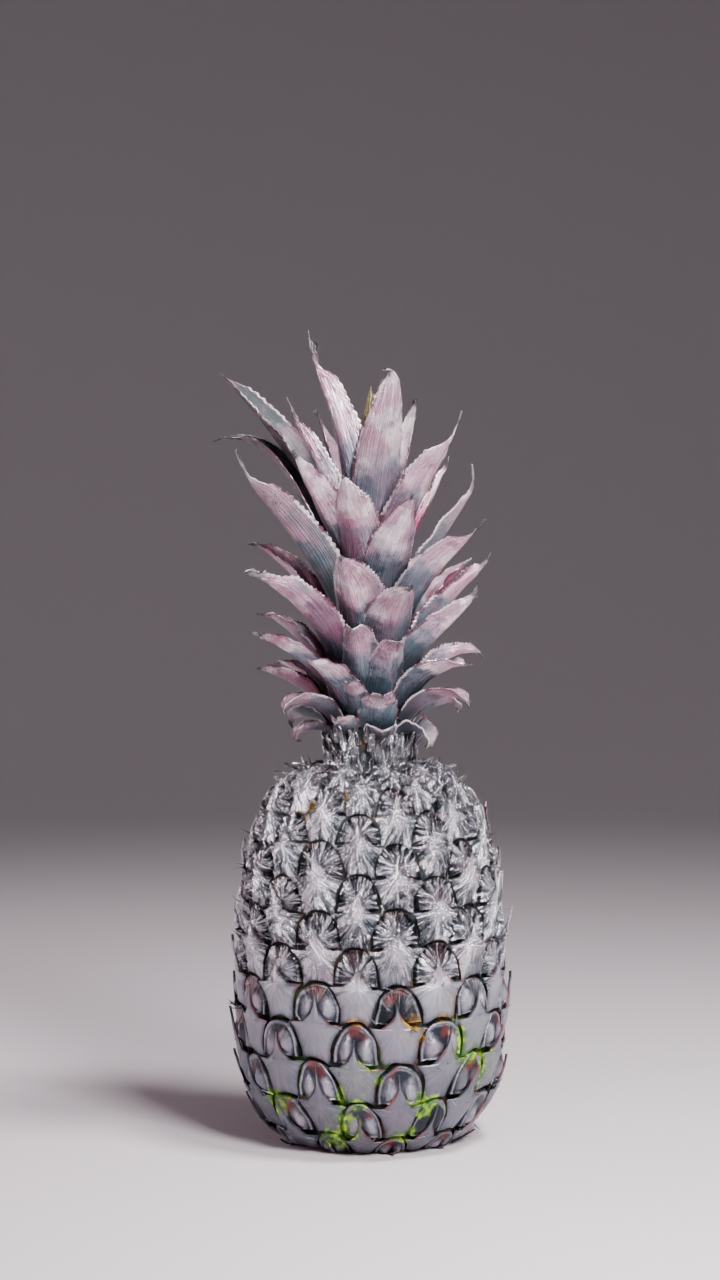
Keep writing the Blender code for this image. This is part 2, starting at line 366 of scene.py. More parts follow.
# %% Wrinkles like foil
foil_group, given, result = new_group(
    "wrinkled foil",
    [("Vector", "Vector"), ("Scale", "Float")],
    [("Height", "Float"), ("Folds", "Float"), ("Tone", "Float")],
)
half_scale = given["Scale"] * 0.6
wander = add_node("TexNoise", {"Vector": given["Vector"], "Scale": half_scale, "Detail": 2.0})
push = add_node("VectorMath", {0: wander["Color"], "Scale": 1.6}, operation="SCALE")[0]
push = add_node("VectorMath", {0: push, "Scale": 1.0 / given["Scale"]}, operation="SCALE")[0]
pushed = vector_calc("ADD", push, given["Vector"])


def tilted_facets(vector, scale):
    """The height of little flat facets, each tilted its own way, as in crushed foil."""
    facets = add_node("TexVoronoi", {"Vector": vector, "Scale": scale})
    from_middle = vector_calc("SUBTRACT", vector, facets["Position"])
    tilt = vector_calc("SUBTRACT", facets["Color"], (0.5, 0.5, 0.5))
    slope = add_node("VectorMath", {0: from_middle, 1: tilt}, operation="DOT_PRODUCT")["Value"]
    tone = add_node("SeparateXYZ", {0: facets["Color"]})["X"]
    return slope * scale, tone


finer_scale = given["Scale"] * 2.6
ridges = mottle(pushed, finer_scale, 4.0, 0.6)
folded = abs(ridges - 0.5)
folds = 1.0 - calc("MULTIPLY", folded, 7.0, clamp=True)
small_facets, small_tone = tilted_facets(pushed, finer_scale)
large_facets, large_tone = tilted_facets(pushed, given["Scale"])
facets = small_facets * 0.22 + large_facets
height = folds * 0.12 + facets
tone = small_tone * 0.4 + large_tone * 0.6
connect(tone, result["Tone"])
connect(height, result["Height"])
connect(folds, result["Folds"])

# %% Fibres
fibre_group, given, result = new_group(
    "fibres",
    [("Across", "Float"), ("Along", "Float"), ("Density", "Float"), ("Seed", "Float")],
    [("Height", "Float"), ("Streaks", "Float")],
)
spread = given["Across"] * given["Density"]
seeded = given["Seed"] * 37.0
place = add_node("CombineXYZ", {0: spread, 1: given["Along"], 2: seeded})[0]
fine = mottle(place, 1.0, 3.0, 0.6)
coarse = mottle(place, 0.33, 2.0, 0.5)
connect(coarse * 0.8 + fine, result["Height"])
connect(between(fine, 0.4, 0.66), result["Streaks"])

# %% Specks that the paint missed
speck_group, given, result = new_group(
    "specks", [("Vector", "Vector"), ("Scale", "Float"), ("Amount", "Float")], [("Specks", "Float")]
)
dots = add_node("TexVoronoi", {"Vector": given["Vector"], "Scale": given["Scale"]})
ragged = mottle(given["Vector"], 900.0, 2.0, 0.6)
patchy = mottle(given["Vector"], 70.0, 2.0, 0.5)
reach = ragged * patchy * given["Amount"]
inside = reach - dots["Distance"]
connect(between(inside, 0.0, 0.08), result["Specks"])

# %% The paint's drifting colour
tint_group, given, result = new_group(
    "paint tint",
    [("Vector", "Vector"), ("Scale", "Float"), ("Lilac", "Color"), ("Pink", "Color"), ("Teal", "Color")],
    [("Color", "Color")],
)
warm = between(mottle(given["Vector"], given["Scale"], 4.0, 0.6), 0.5, 0.7)
other_scale = given["Scale"] * 1.7
cool = between(mottle(given["Vector"], other_scale, 4.0, 0.6), 0.47, 0.68)
colour = blend_colours(warm, given["Lilac"], given["Pink"])
connect(blend_colours(cool, colour, given["Teal"]), result["Color"])

print("shared effects:", [group.name for group in bpy.data.node_groups])

# %% [markdown]
# ## The fruit's outline and its rings
# The fruit is a barrel: one rounded curve below its widest place and another above it. The eyes sit
# in thirteen rings of ten, and each ring is turned by half an eye. The same few numbers place every eye
# in the CAD model, so the skin made here lies on it exactly.

# %% The outline
FRUIT_RADIUS = 0.0575
WIDEST_HEIGHT = 0.062
LOWER_HALF_HEIGHT = 0.0687
LOWER_ROUNDNESS = 2.8
UPPER_HALF_HEIGHT = 0.101
UPPER_ROUNDNESS = 3.6
UPPER_NARROWING = 0.05
NECK_RADIUS = 0.0185
OUTLINE_STEPS = 320
EYES_ROUND = 10
EYE_RINGS = 13
EYE_PHASE = 12.0
EYE_TURN = 180 / EYES_ROUND
FIRST_RING = 0.0125
LOWEST_RING_PITCH = 0.0172
HIGHEST_RING_PITCH = 0.0108
UNDERSIDE = 0.0013


def outward(azimuth):
    """The level direction at an azimuth in degrees, which is 0 at the front and grows towards +X."""
    angle = math.radians(azimuth)
    return Vector((math.sin(angle), -math.cos(angle), 0.0))


def barrel_outline():
    """(radius, height) points up the side, from the base's rim to the crown's seat."""
    floor_angle = math.asin((WIDEST_HEIGHT / LOWER_HALF_HEIGHT) ** (LOWER_ROUNDNESS / 2))
    top_radius = FRUIT_RADIUS * (1 - UPPER_NARROWING)
    seat_angle = math.acos((NECK_RADIUS / top_radius) ** (UPPER_ROUNDNESS / 2))
    points = []
    for step in range(OUTLINE_STEPS + 1):
        angle = -floor_angle + (floor_angle + seat_angle) * step / OUTLINE_STEPS
        roundness = LOWER_ROUNDNESS if angle < 0 else UPPER_ROUNDNESS
        half_height = LOWER_HALF_HEIGHT if angle < 0 else UPPER_HALF_HEIGHT
        rise = math.copysign(abs(math.sin(angle)) ** (2 / roundness), angle)
        radius = FRUIT_RADIUS * (1 - UPPER_NARROWING * max(rise, 0.0)) * math.cos(angle) ** (2 / roundness)
        points.append(Vector((radius, WIDEST_HEIGHT + half_height * rise)))
    return points


outline = barrel_outline()
lengths = [0.0]
for first, second in zip(outline, outline[1:]):
    lengths.append(lengths[-1] + (second - first).length)

ring_lengths = [0.0, FIRST_RING]
for ring in range(2, EYE_RINGS + 1):
    share = (ring - 2) / (EYE_RINGS - 2)
    ring_lengths.append(ring_lengths[-1] + LOWEST_RING_PITCH * (1 - share) + HIGHEST_RING_PITCH * share)
stretch = lengths[-1] / ring_lengths[-1]
ring_lengths = [length * stretch for length in ring_lengths]


def along_outline(length):
    """The radius, height and outward slope at a distance up the outline, or in under the base."""
    if length < 0:
        return outline[0].x + length, UNDERSIDE, Vector((0.0, -0.35))
    length = min(length, lengths[-1] - 1e-6)
    step = bisect.bisect_right(lengths, length) - 1
    share = (length - lengths[step]) / (lengths[step + 1] - lengths[step])
    point = outline[step].lerp(outline[step + 1], share)
    slope = (outline[min(step + 6, OUTLINE_STEPS)] - outline[max(step - 5, 0)]).normalized()
    return point.x, point.y, Vector((slope.y, -slope.x))


def ring_length(place):
    """The distance up the outline at a place counted in rings, which may fall between two of them."""
    if place < 0:
        return place * ring_lengths[1]
    place = min(place, EYE_RINGS - 1e-6)
    ring = int(place)
    return ring_lengths[ring] + (ring_lengths[ring + 1] - ring_lengths[ring]) * (place - ring)


def on_fruit(azimuth, length, lift):
    """A point on the fruit's side, lifted outwards from it."""
    radius, height, out = along_outline(length)
    return outward(azimuth) * (radius + lift * out.x) + Vector((0, 0, height + lift * out.y))


print("rings at heights in mm:", [round(along_outline(l)[1] / MM) for l in ring_lengths])

# %% [markdown]
# ### Bare spots
# In a few places the spray missed the rind, and its own fresh green or ripe gold shows. They lie
# mostly low on the fruit, where the can was held level. Each is a ragged patch round one point on the
# outline, and a node group gives their masks to all the finishes, so a patch crosses from scale to scale.

# %% Where the fruit's own skin shows through
# Each spot has its azimuth in degrees, then its height and its reach in millimetres.
GREEN_SPOTS = (
    (-5, 37, 9),
    (-9, 28, 8),
    (-15, 15, 10),
    (-20, 8, 8),
    (44, 47, 10),
    (60, 36, 10),
    (24, 24, 8),
    (16, 11, 7),
    (-48, 22, 9),
    (140, 30, 12),
    (-160, 18, 12),
    (-110, 35, 9),
)
GOLD_SPOTS = (
    (16, 55, 9),
    (32, 66, 8),
    (-6, 62, 6),
    (-12, 152, 4),
    (-35, 146, 5),
    (120, 60, 10),
    (-130, 58, 9),
)


def spots_mask(place, spots, ragged):
    """1 in the ragged middle of any of the spots, 0 away from them all."""
    total = 0.0
    for azimuth, height, reach in spots:
        radius = next((point.x for point in outline if point.y >= height * MM), NECK_RADIUS)
        middle = outward(azimuth) * radius + Vector((0, 0, height * MM))
        away = add_node("VectorMath", {0: place, 1: middle}, operation="DISTANCE")["Value"]
        near = away * (-1.0 / (reach * MM)) + ragged
        total = calc("MAXIMUM", total, between(near, 0.1, 0.45))
    return total


bare_group, given, result = new_group(
    "bare spots", [("Vector", "Vector")], [("Green", "Float"), ("Gold", "Float"), ("Mask", "Float")]
)
ragged = mottle(given["Vector"], 170.0, 4.0, 0.65) * 2.1
green = spots_mask(given["Vector"], GREEN_SPOTS, ragged)
gold = spots_mask(given["Vector"], GOLD_SPOTS, ragged)
connect(green, result["Green"])
connect(gold, result["Gold"])
connect(calc("MAXIMUM", green, gold), result["Mask"])

# %% [markdown]
# ## The pattern of one eye
# Each eye has two parts that show. Its scale is a star: a spike that rises over the eye, two arms at
# a straight shoulder, and a skirt below that ends in two legs. Behind the spike sits the eye itself,
# a low dome under a round arch, with a rim and two lobes. Arches and stars fit together like tiles,
# and the gaps between them are the dark grooves. Both are modelled flat once, at the size of an
# average eye, and then wrapped round the barrel.

# %% The tiling's measures
EYE_HALF_WIDTH = 0.0188
EYE_PITCH = 0.0135
ARCH_HALF_WIDTH = 0.57
ARCH_TOP = 1.10
ARCH_SIDE_POWER = 2.2
ARCH_TOP_POWER = 2.6
GROOVE = 0.0009
ACROSS_GROOVE = GROOVE / EYE_HALF_WIDTH
UP_GROOVE = GROOVE / EYE_PITCH


def arch_half_width(up):
    """Half the arch's width at a height, both as shares of the tiling."""
    left = max(0.0, 1 - (max(up, 0.0) / ARCH_TOP) ** ARCH_TOP_POWER)
    return ARCH_HALF_WIDTH * left ** (1 / ARCH_SIDE_POWER)


def arch_height(across):
    """The arch's height at a distance from its middle, both as shares of the tiling."""
    left = max(0.0, 1 - (abs(across) / ARCH_HALF_WIDTH) ** ARCH_SIDE_POWER)
    return ARCH_TOP * left ** (1 / ARCH_TOP_POWER)


# %% [markdown]
# ### The domed eye
# A filled circle is pulled into the arch's outline. Then its face is extruded and scaled in, step by
# step, so each step leaves one ring of faces: first the groove's wall, then the rim, the hollow inside
# it, and the dome. Last, the two lobes are lifted by a smooth hump on either side of a cleft.

# %% Modelling the dome
DOME_SIDES = 32
DOME_FLAT_SIDES = 8
DOME_STEPS = (
    (0.965, 2.2),
    (0.93, 1.1),
    (0.88, 0.45),
    (0.80, -0.75),
    (0.68, 0.10),
    (0.54, 0.35),
    (0.38, 0.25),
    (0.20, 0.10),
)
DOME_FOOT = -2.8


def arch_outline():
    """The arch's corners, from its right foot over the top to its left foot and back along the flat."""
    corners = []
    rounded = DOME_SIDES - DOME_FLAT_SIDES
    for step in range(rounded + 1):
        angle = math.pi * step / rounded
        across = math.copysign(abs(math.cos(angle)) ** (2 / ARCH_SIDE_POWER), math.cos(angle))
        up = max(math.sin(angle), 0.0) ** (2 / ARCH_TOP_POWER)
        corners.append((ARCH_HALF_WIDTH * across, max(ARCH_TOP * up, 0.09)))
    for step in range(1, DOME_FLAT_SIDES):
        corners.append((ARCH_HALF_WIDTH * (2 * step / DOME_FLAT_SIDES - 1), 0.09))
    return [Vector((x * EYE_HALF_WIDTH, y * EYE_PITCH, DOME_FOOT * MM)) for x, y in corners]


def lobes(across, up):
    """How far the two lobes stand above the dome, as a share."""
    side = abs(across / EYE_HALF_WIDTH)
    height = up / EYE_PITCH
    beside = math.exp(-(((side - 0.23) / 0.13) ** 2))
    return beside * math.exp(-(((height - 0.46) / 0.30) ** 2))


bpy.ops.object.select_all(action="DESELECT")
bpy.ops.mesh.primitive_circle_add(vertices=DOME_SIDES, radius=EYE_HALF_WIDTH, fill_type="NGON")
dome_pattern = started("dome_pattern")
for vert, corner in zip(dome_pattern.data.vertices, arch_outline()):
    vert.co = corner
edit_where(dome_pattern, lambda place: True)
share = 1.0
middle = (0.0, 0.47 * EYE_PITCH, 0.0)
for next_share, rise in DOME_STEPS:
    bpy.ops.mesh.extrude_region_move(TRANSFORM_OT_translate={"value": (0, 0, rise * MM)})
    scale = next_share / share
    bpy.ops.transform.resize(value=(scale, scale, 1.0), center_override=middle)
    share = next_share
bpy.ops.mesh.poke()
bpy.ops.object.mode_set(mode="OBJECT")
for vert in dome_pattern.data.vertices:
    if vert.co.z > 0:
        vert.co.z += 2.0 * MM * lobes(vert.co.x, vert.co.y)
face_outwards(dome_pattern)
print("dome pattern faces:", len(dome_pattern.data.polygons))

# %% [markdown]
# ### The star-shaped scale
# The star starts as a grid. Each row is scaled to its width and moved to its height, rows below the
# shoulder for the skirt and rows above it for the spike, so a step in width makes the straight
# shoulder. A second pass in code crowns it across, lifts the spike clear of the dome, and gives the
# scale its thickness.

# %% Modelling the star
STAR_COLUMNS = 12
SKIRT_ROWS = 8
SPIKE_ROWS = 7
SPIKE_FOOT = 0.03
SPIKE_TOP = 0.84
SPIKE_HALF_WIDTH = 0.36
SPIKE_TIP_HALF_WIDTH = 0.022
SPIKE_TAPER = 3.0
STAR_LIFT = 2.9
STAR_THICKNESS = 0.0006


def star_row(row):
    """The height and half-width of a row, as shares of the tiling."""
    if row <= SKIRT_ROWS:
        share = row / SKIRT_ROWS
        return share - 1, 1 - arch_half_width(share) - ACROSS_GROOVE
    share = ((row - SKIRT_ROWS - 1) / (SPIKE_ROWS - 1)) ** 1.15
    half_width = SPIKE_HALF_WIDTH * (1 - share) ** SPIKE_TAPER + SPIKE_TIP_HALF_WIDTH
    return SPIKE_FOOT + (SPIKE_TOP - SPIKE_FOOT) * share, half_width


bpy.ops.object.select_all(action="DESELECT")
bpy.ops.mesh.primitive_grid_add(
    x_subdivisions=STAR_COLUMNS, y_subdivisions=SKIRT_ROWS + SPIKE_ROWS, size=2 * EYE_HALF_WIDTH
)
star_pattern = started("star_pattern")
for row, height in reversed(list(enumerate(grid_rows(star_pattern)))):
    up, half_width = star_row(row)
    edit_row(star_pattern, height)
    lift = up * EYE_PITCH + 0.1
    bpy.ops.transform.resize(value=(half_width, 1, 1), center_override=(0, height, 0))
    bpy.ops.transform.translate(value=(0, lift - height, 0))
bpy.ops.object.mode_set(mode="OBJECT")
random.seed(SEED)
for vert in star_pattern.data.vertices:
    across = vert.co.x / EYE_HALF_WIDTH
    up = (vert.co.y - 0.1) / EYE_PITCH
    _, half_width = star_row(min(range(SKIRT_ROWS + SPIKE_ROWS), key=lambda r: abs(star_row(r)[0] - up)))
    side = across / half_width
    if up <= 0.001:
        notch = arch_height(across) - 2 + UP_GROOVE
        foot = -1.0 + max(0.0, notch + 1.0)
        up = foot * -up
        crown = 0.3 + (STAR_LIFT - 0.3) * (1 + up) ** 0.7
        lift = crown - 1.1 * abs(side) ** 3 - 0.5 * side ** 2
    else:
        crown = STAR_LIFT + 0.55 * math.sin(math.pi * up / SPIKE_TOP * 0.62)
        lift = crown - 0.8 * abs(side)
    if abs(up) < 0.02 and 0.4 < abs(side) < 0.99:
        up += random.uniform(-0.01, 0.05)
    vert.co = (across * EYE_HALF_WIDTH, up * EYE_PITCH, lift * MM)
finish_with(star_pattern, "SOLIDIFY", thickness=STAR_THICKNESS, offset=-1)
print("star pattern faces:", len(star_pattern.data.polygons))


# %% [markdown]
# ### What the materials need to know
# A material can follow a pattern only if the mesh tells it where it is. Each pattern keeps its own
# flat place as a UV map, and a value that is 1 at the free edge and 0 well inside. They go along
# with every copy.

# %% Marks for the materials
def mark_pattern(pattern, edge_at):
    """Writes the flat place of every corner as the UV map, and how near the edge every vertex is."""
    flat = flat_map(pattern)
    for loop in pattern.data.loops:
        co = pattern.data.vertices[loop.vertex_index].co
        flat.data[loop.index].uv = (0.5 + co.x / EYE_HALF_WIDTH / 2, 0.5 + co.y / EYE_PITCH / 2)
    write_value(pattern, "edge", [edge_at(vert.co) for vert in pattern.data.vertices])


def star_edge(co):
    """How near a point is to the star's free edge: 1 at the edge, 0 well inside."""
    across, up = co.x / EYE_HALF_WIDTH, co.y / EYE_PITCH
    if up > 0.015:
        spike_half_width = star_row(SKIRT_ROWS + 1)[1] * (1 - up / SPIKE_TOP) ** SPIKE_TAPER
        return 1.0 if abs(across) > 0.8 * spike_half_width else 0.25
    half_width = 1 - arch_half_width(up + 1) - ACROSS_GROOVE
    beside = (half_width - abs(across)) * EYE_HALF_WIDTH
    below = (up - (arch_height(across) - 2 + UP_GROOVE)) * EYE_PITCH
    return 1 - min(1.0, max(0.0, min(beside, below) / 0.0022))


def dome_edge(co):
    """How near a point is to the arch's outline: 1 on it, 0 at the middle of the foot."""
    across, up = co.x / EYE_HALF_WIDTH, co.y / EYE_PITCH
    beside = (abs(across) / ARCH_HALF_WIDTH) ** ARCH_SIDE_POWER
    above = (abs(up) / ARCH_TOP) ** ARCH_TOP_POWER
    return (beside + above) ** 0.42


mark_pattern(star_pattern, star_edge)
mark_pattern(dome_pattern, dome_edge)


# %% [markdown]
# ### Wrapping the patterns round the barrel
# A Curve or Lattice modifier could bend one pattern, but not grade its size from ring to ring. So
# each copy's vertices are moved in code: across becomes an angle, up becomes a way along the outline,
# and lift stays lift. A little seeded noise crumples every copy, hardly at all low down, where the
# paint is smooth, and sharply near the shoulder, where it lies like foil.

# %% Wrapping
FOIL_BEGINS = 0.060
FOIL_SKIN_FULL = 0.094
FOIL_PAINT_FULL = 0.096
FIRST_FOIL_RING = 6
FIRST_TOP_RING = 9


def foil_share(height):
    """How foil-like the skin is at a height: 0 low down, 1 above the middle."""
    return min(1.0, max(0.0, (height - FOIL_BEGINS) / (FOIL_SKIN_FULL - FOIL_BEGINS)))


def facet(place, scale):
    """The height of a tilted facet at a place, in shares of the facet's own size."""
    near = noise.voronoi(place * scale)[1][0]
    tilt = noise.cell_vector(near * 5.3) - Vector((0.5, 0.5, 0.5))
    return (place * scale - near).dot(tilt)


def crumple(place, height):
    """A small push in or out, soft low down, and in large and small facets where it is like foil."""
    foil = foil_share(height)
    soft = noise.noise(place * 160)
    if foil == 0:
        return MM * 0.3 * soft
    return MM * (0.3 * soft + foil * (3.0 * facet(place, 170) + 1.2 * facet(place, 430)))


# How far one copy of a pattern may differ from the next.
MOST_SWAY = 0.35
MOST_TURN = 3.0
GROWTH = (0.85, 1.15)
SPIKE_LENGTHS = (0.80, 1.25)
FOIL_SPREAD = 1.02
# How far the whole net wanders, up in metres and round in degrees, and how low a point may lie.
WANDER_UP = 2.6 * MM
WANDER_ROUND = 3.2
LOWEST_POINT = 0.0002


def wrap(piece, ring, azimuth, shake, lift_more=0.0):
    """Lays a flat pattern on the barrel, with its middle on a ring."""
    radius, _, _ = along_outline(ring_length(ring))
    size = min(1.0, radius * math.pi / EYES_ROUND / EYE_HALF_WIDTH) ** 0.6
    sway = shake.uniform(-MOST_SWAY, MOST_SWAY)
    turn = math.radians(shake.uniform(-MOST_TURN, MOST_TURN))
    grow = shake.uniform(*GROWTH)
    shift = Vector((shake.uniform(0, 90), 0, 0))
    spike = shake.uniform(*SPIKE_LENGTHS) if lift_more else 1.0
    spread = FOIL_SPREAD if ring >= FIRST_FOIL_RING else 1.0
    for vert in piece.data.vertices:
        across, up, lift = vert.co
        across *= spread
        up *= spread * (spike if up > 0 else 1.0)
        ragged = noise.noise_vector(shift + vert.co * 190)
        across += sway * max(lift, 0.0) - turn * up + 0.7 * MM * ragged.x
        up += turn * across * 0.6 + 0.6 * MM * ragged.y
        length = ring_length(ring + up / EYE_PITCH)
        here = azimuth + EYE_TURN * across / EYE_HALF_WIDTH
        drift = noise.noise_vector(on_fruit(here, length, 0.0) * 26) * min(1.0, max(0.0, length) / (12 * MM))
        length += WANDER_UP * drift.y
        here += WANDER_ROUND * drift.x
        flat = on_fruit(here, length, 0.0)
        push = crumple(flat, flat.z) * size if lift > -1.5 * MM else 0.0
        lifted = lift * size * (grow if lift > 0 else 1.0) + push + lift_more * max(up, 0.0)
        point = on_fruit(here, length, lifted)
        point.z = max(point.z, LOWEST_POINT)
        vert.co = point
    write_value(piece, "chance", [shake.random()] * len(piece.data.vertices))


def ring_azimuths(ring):
    """The azimuths of the ten eyes of a ring."""
    first = EYE_PHASE + (EYE_TURN if ring % 2 else 0.0)
    return [first + 2 * EYE_TURN * i for i in range(EYES_ROUND)]


def finer(pattern):
    """A copy of a pattern with every face cut in four, for skin that has to crumple."""
    made = own_copy(pattern, pattern.name + "_fine")
    take(made)
    bpy.ops.object.mode_set(mode="EDIT")
    bpy.ops.mesh.select_all(action="SELECT")
    bpy.ops.mesh.subdivide(number_cuts=1)
    bpy.ops.object.mode_set(mode="OBJECT")
    return made


def tiled(pattern, rings, name, most_lift):
    """Copies of a pattern on every eye of some rings, joined into one piece."""
    chance = random.Random(f"{SEED} {name}")
    made = []
    for ring in rings:
        for azimuth in ring_azimuths(ring):
            tile = own_copy(pattern, "tile")
            wrap(tile, ring, azimuth, chance, chance.uniform(0.0, most_lift) ** 1.5 if most_lift else 0.0)
            made.append(tile)
    return joined(made, name)


fine_dome, fine_star = finer(dome_pattern), finer(star_pattern)
# Each band of skin: its pattern, its rings, and how far its spikes may stand up from the fruit.
SKIN_BANDS = {
    "eye_domes_low": (dome_pattern, range(-1, FIRST_FOIL_RING), 0.0),
    "eye_domes_high": (fine_dome, range(FIRST_FOIL_RING, EYE_RINGS), 0.0),
    "star_scales_low": (star_pattern, range(FIRST_FOIL_RING), 0.34),
    "star_scales_shoulder": (fine_star, range(FIRST_FOIL_RING, FIRST_TOP_RING), 0.45),
    "star_scales_top": (fine_star, range(FIRST_TOP_RING, EYE_RINGS), 0.45),
}
skin_pieces = {}
for name, (pattern, rings, most_lift) in SKIN_BANDS.items():
    skin_pieces[name] = tiled(pattern, rings, name, most_lift)
for pattern in (dome_pattern, star_pattern, fine_dome, fine_star):
    bpy.data.objects.remove(pattern)
for name, piece in skin_pieces.items():
    print(name, "faces:", len(piece.data.polygons))

# %% [markdown]
# ### The dark skin beneath, and the crown's stem
# Under the tiles lies the fruit's own skin, which shows only in the grooves and round the base. The
# stem goes on up inside the leaves. Both are turned like a pot: a filled circle is extruded and scaled
# from one (radius, height) of its profile to the next.


# %% Turning
def turned_body(name, profile, sides):
    """A closed body turned round the axis, from the bottom of its profile to the top."""
    (radius, height), rest = profile[0], profile[1:]
    bpy.ops.object.select_all(action="DESELECT")
    bpy.ops.mesh.primitive_circle_add(vertices=sides, radius=radius, fill_type="NGON")
    made = started(name)
    bpy.ops.object.mode_set(mode="EDIT")
    bpy.ops.transform.translate(value=(0, 0, height))
    for next_radius, next_height in rest:
        rise = (0, 0, next_height - height)
        bpy.ops.mesh.extrude_region_move(TRANSFORM_OT_translate={"value": rise})
        scale = next_radius / radius
        bpy.ops.transform.resize(value=(scale, scale, 1), center_override=(0, 0, next_height))
        radius, height = next_radius, next_height
    bpy.ops.object.mode_set(mode="OBJECT")
    face_outwards(made)
    return made


SKIN_SIDES = 60
SKIN_DEPTH = 0.0022
skin_profile = [(outline[0].x - SKIN_DEPTH, 0.0022)]
for step in range(8, OUTLINE_STEPS + 1, 4):
    radius, height, out = along_outline(lengths[step])
    height = max(height - SKIN_DEPTH * out.y, skin_profile[-1][1] + 1e-5)
    skin_profile.append((radius - SKIN_DEPTH * out.x, height))
skin_profile.append((NECK_RADIUS * 0.9, crown_seat + 0.001))
groove_skin = turned_body("groove_skin", skin_profile, SKIN_SIDES)
print("groove skin faces:", len(groove_skin.data.polygons))

# %% [markdown]
# ## The fruit's finishes
# Low down the paint is a smooth dark satin with painted shade towards the base and near each scale's
# edges; the domes are painted shade, nearly black, round two lobes and a rim band with a painted
# highlight, and rust shows at the edges. Higher up the paint stands in folds that fan out from the middle
# of each scale, like foil pressed over it, with painted highlights and painted shade on the shards and
# folds side by side, and a painted highlight in each scale's middle. The grooves stayed almost black.

# %% Values every fruit finish starts from
LILAC = (0.42, 0.41, 0.48, 1.0)
PINK = (0.52, 0.30, 0.41, 1.0)
TEAL = (0.10, 0.17, 0.20, 1.0)
INK = (0.010, 0.018, 0.020, 1.0)
RUST = (0.20, 0.04, 0.03, 1.0)
# The last two colours are painted light: painted shade for shaded folds, and a painted highlight.
SHADE = (0.025, 0.045, 0.05, 1.0)
PAINTED_HIGHLIGHT = (0.95, 0.93, 0.97, 1.0)


def fruit_places():
    """The object's own coordinates, their height, and how foil-like the skin is there."""
    place = add_node("TexCoord")["Object"]
    height = add_node("SeparateXYZ", {0: place})["Z"]
    return place, height, between(height, FOIL_BEGINS, FOIL_PAINT_FULL)


def fan_places(seed, middle_up):
    """A place that runs round and outwards from a scale's middle, so that folds fan out from it."""
    flat = add_node("UVMap", uv_map="place")["UV"]
    parts = add_node("SeparateXYZ", {0: flat})
    across = (parts["X"] - 0.5) * 2.8
    up = (parts["Y"] - middle_up) * 2.0
    angle = calc("ARCTAN2", up, across)
    squares = across ** 2.0 + up ** 2.0
    distance = calc("SQRT", squares)
    place = add_node("CombineXYZ", {0: angle * 4.2, 1: distance, 2: seed * 37.0})
    return angle, distance, place[0]


def tinted(place, scale, lilac=LILAC, pink=PINK, teal=TEAL):
    """The paint's colour, drifting over the surface."""
    inputs = {"Vector": place, "Scale": scale, "Lilac": lilac, "Pink": pink, "Teal": teal}
    return use_group(tint_group, inputs)["Color"]


def speckled(colour, place, scale, amount, share, tone=INK):
    """Dark specks over a colour."""
    specks = use_group(speck_group, {"Vector": place, "Scale": scale, "Amount": amount})["Specks"]
    return blend_colours(specks * share, colour, tone)


def bare_colour(colour, place, share):
    """Lets the fruit's green and gold show through the paint in its bare spots."""
    bare = use_group(bare_group, {"Vector": place})
    vary = mottle(place, 300.0, 3.0)
    green = blend_colours(between(vary, 0.42, 0.66), (0.02, 0.1, 0.005, 1), (0.34, 0.58, 0.01, 1))
    gold = blend_colours(between(vary, 0.42, 0.66), (0.09, 0.04, 0.005, 1), (0.5, 0.28, 0.01, 1))
    colour = blend_colours(bare["Green"] * share, colour, green)
    colour = blend_colours(bare["Gold"] * share, colour, gold)
    return colour, bare["Mask"] * share


# %% The stars' finish
star_finish, shader = new_material("silver_star_scale")
place, height, foil = fruit_places()
chance = attribute("chance")
edge = attribute("edge")
angle, distance, fan_place = fan_places(chance, 0.52)
shards = use_group(foil_group, {"Vector": fan_place, "Scale": 1.3})
crushed = use_group(foil_group, {"Vector": place, "Scale": 130.0})
fibre_inputs = {"Across": angle, "Along": distance * 1.2, "Density": 9.0, "Seed": chance}
fan = use_group(fibre_group, fibre_inputs)
paint = tinted(place, 50.0)
# Painted shade: low down the satin darkens towards the base.
satin = blend_colours(between(height, 0.08, 0.012), (0.26, 0.26, 0.3, 1), (0.055, 0.055, 0.075, 1))
satin = blend_colours(chance * 0.55, satin, (0.13, 0.14, 0.18, 1.0))
colour = blend_colours(foil * 0.8 + 0.12, satin, paint)
# Painted shade near each scale's edges.
edge_painted_shade = mottle(place, 120.0) * 0.7 + edge
edge_painted_shade = between(edge_painted_shade, 0.35, 1.25) * 0.85
colour = blend_colours(edge_painted_shade, colour, (0.07, 0.08, 0.11, 1.0))
# Painted light on the foil shards: painted shade on some, a painted highlight on others.
shard_painted_shade = between(shards["Tone"], 0.44, 0.34) * (foil * 0.9)
colour = blend_colours(shard_painted_shade * between(distance, 0.1, 0.6), colour, SHADE)
shard_painted_highlight = between(shards["Tone"], 0.54, 0.62) * (foil * 0.9)
colour = blend_colours(shard_painted_highlight, colour, PAINTED_HIGHLIGHT)
# A painted highlight in the middle of each scale, where the foil folds fan out.
middle = between(distance, 0.6, 0.1) * (foil * 0.4)
colour = blend_colours(middle, colour, PAINTED_HIGHLIGHT)
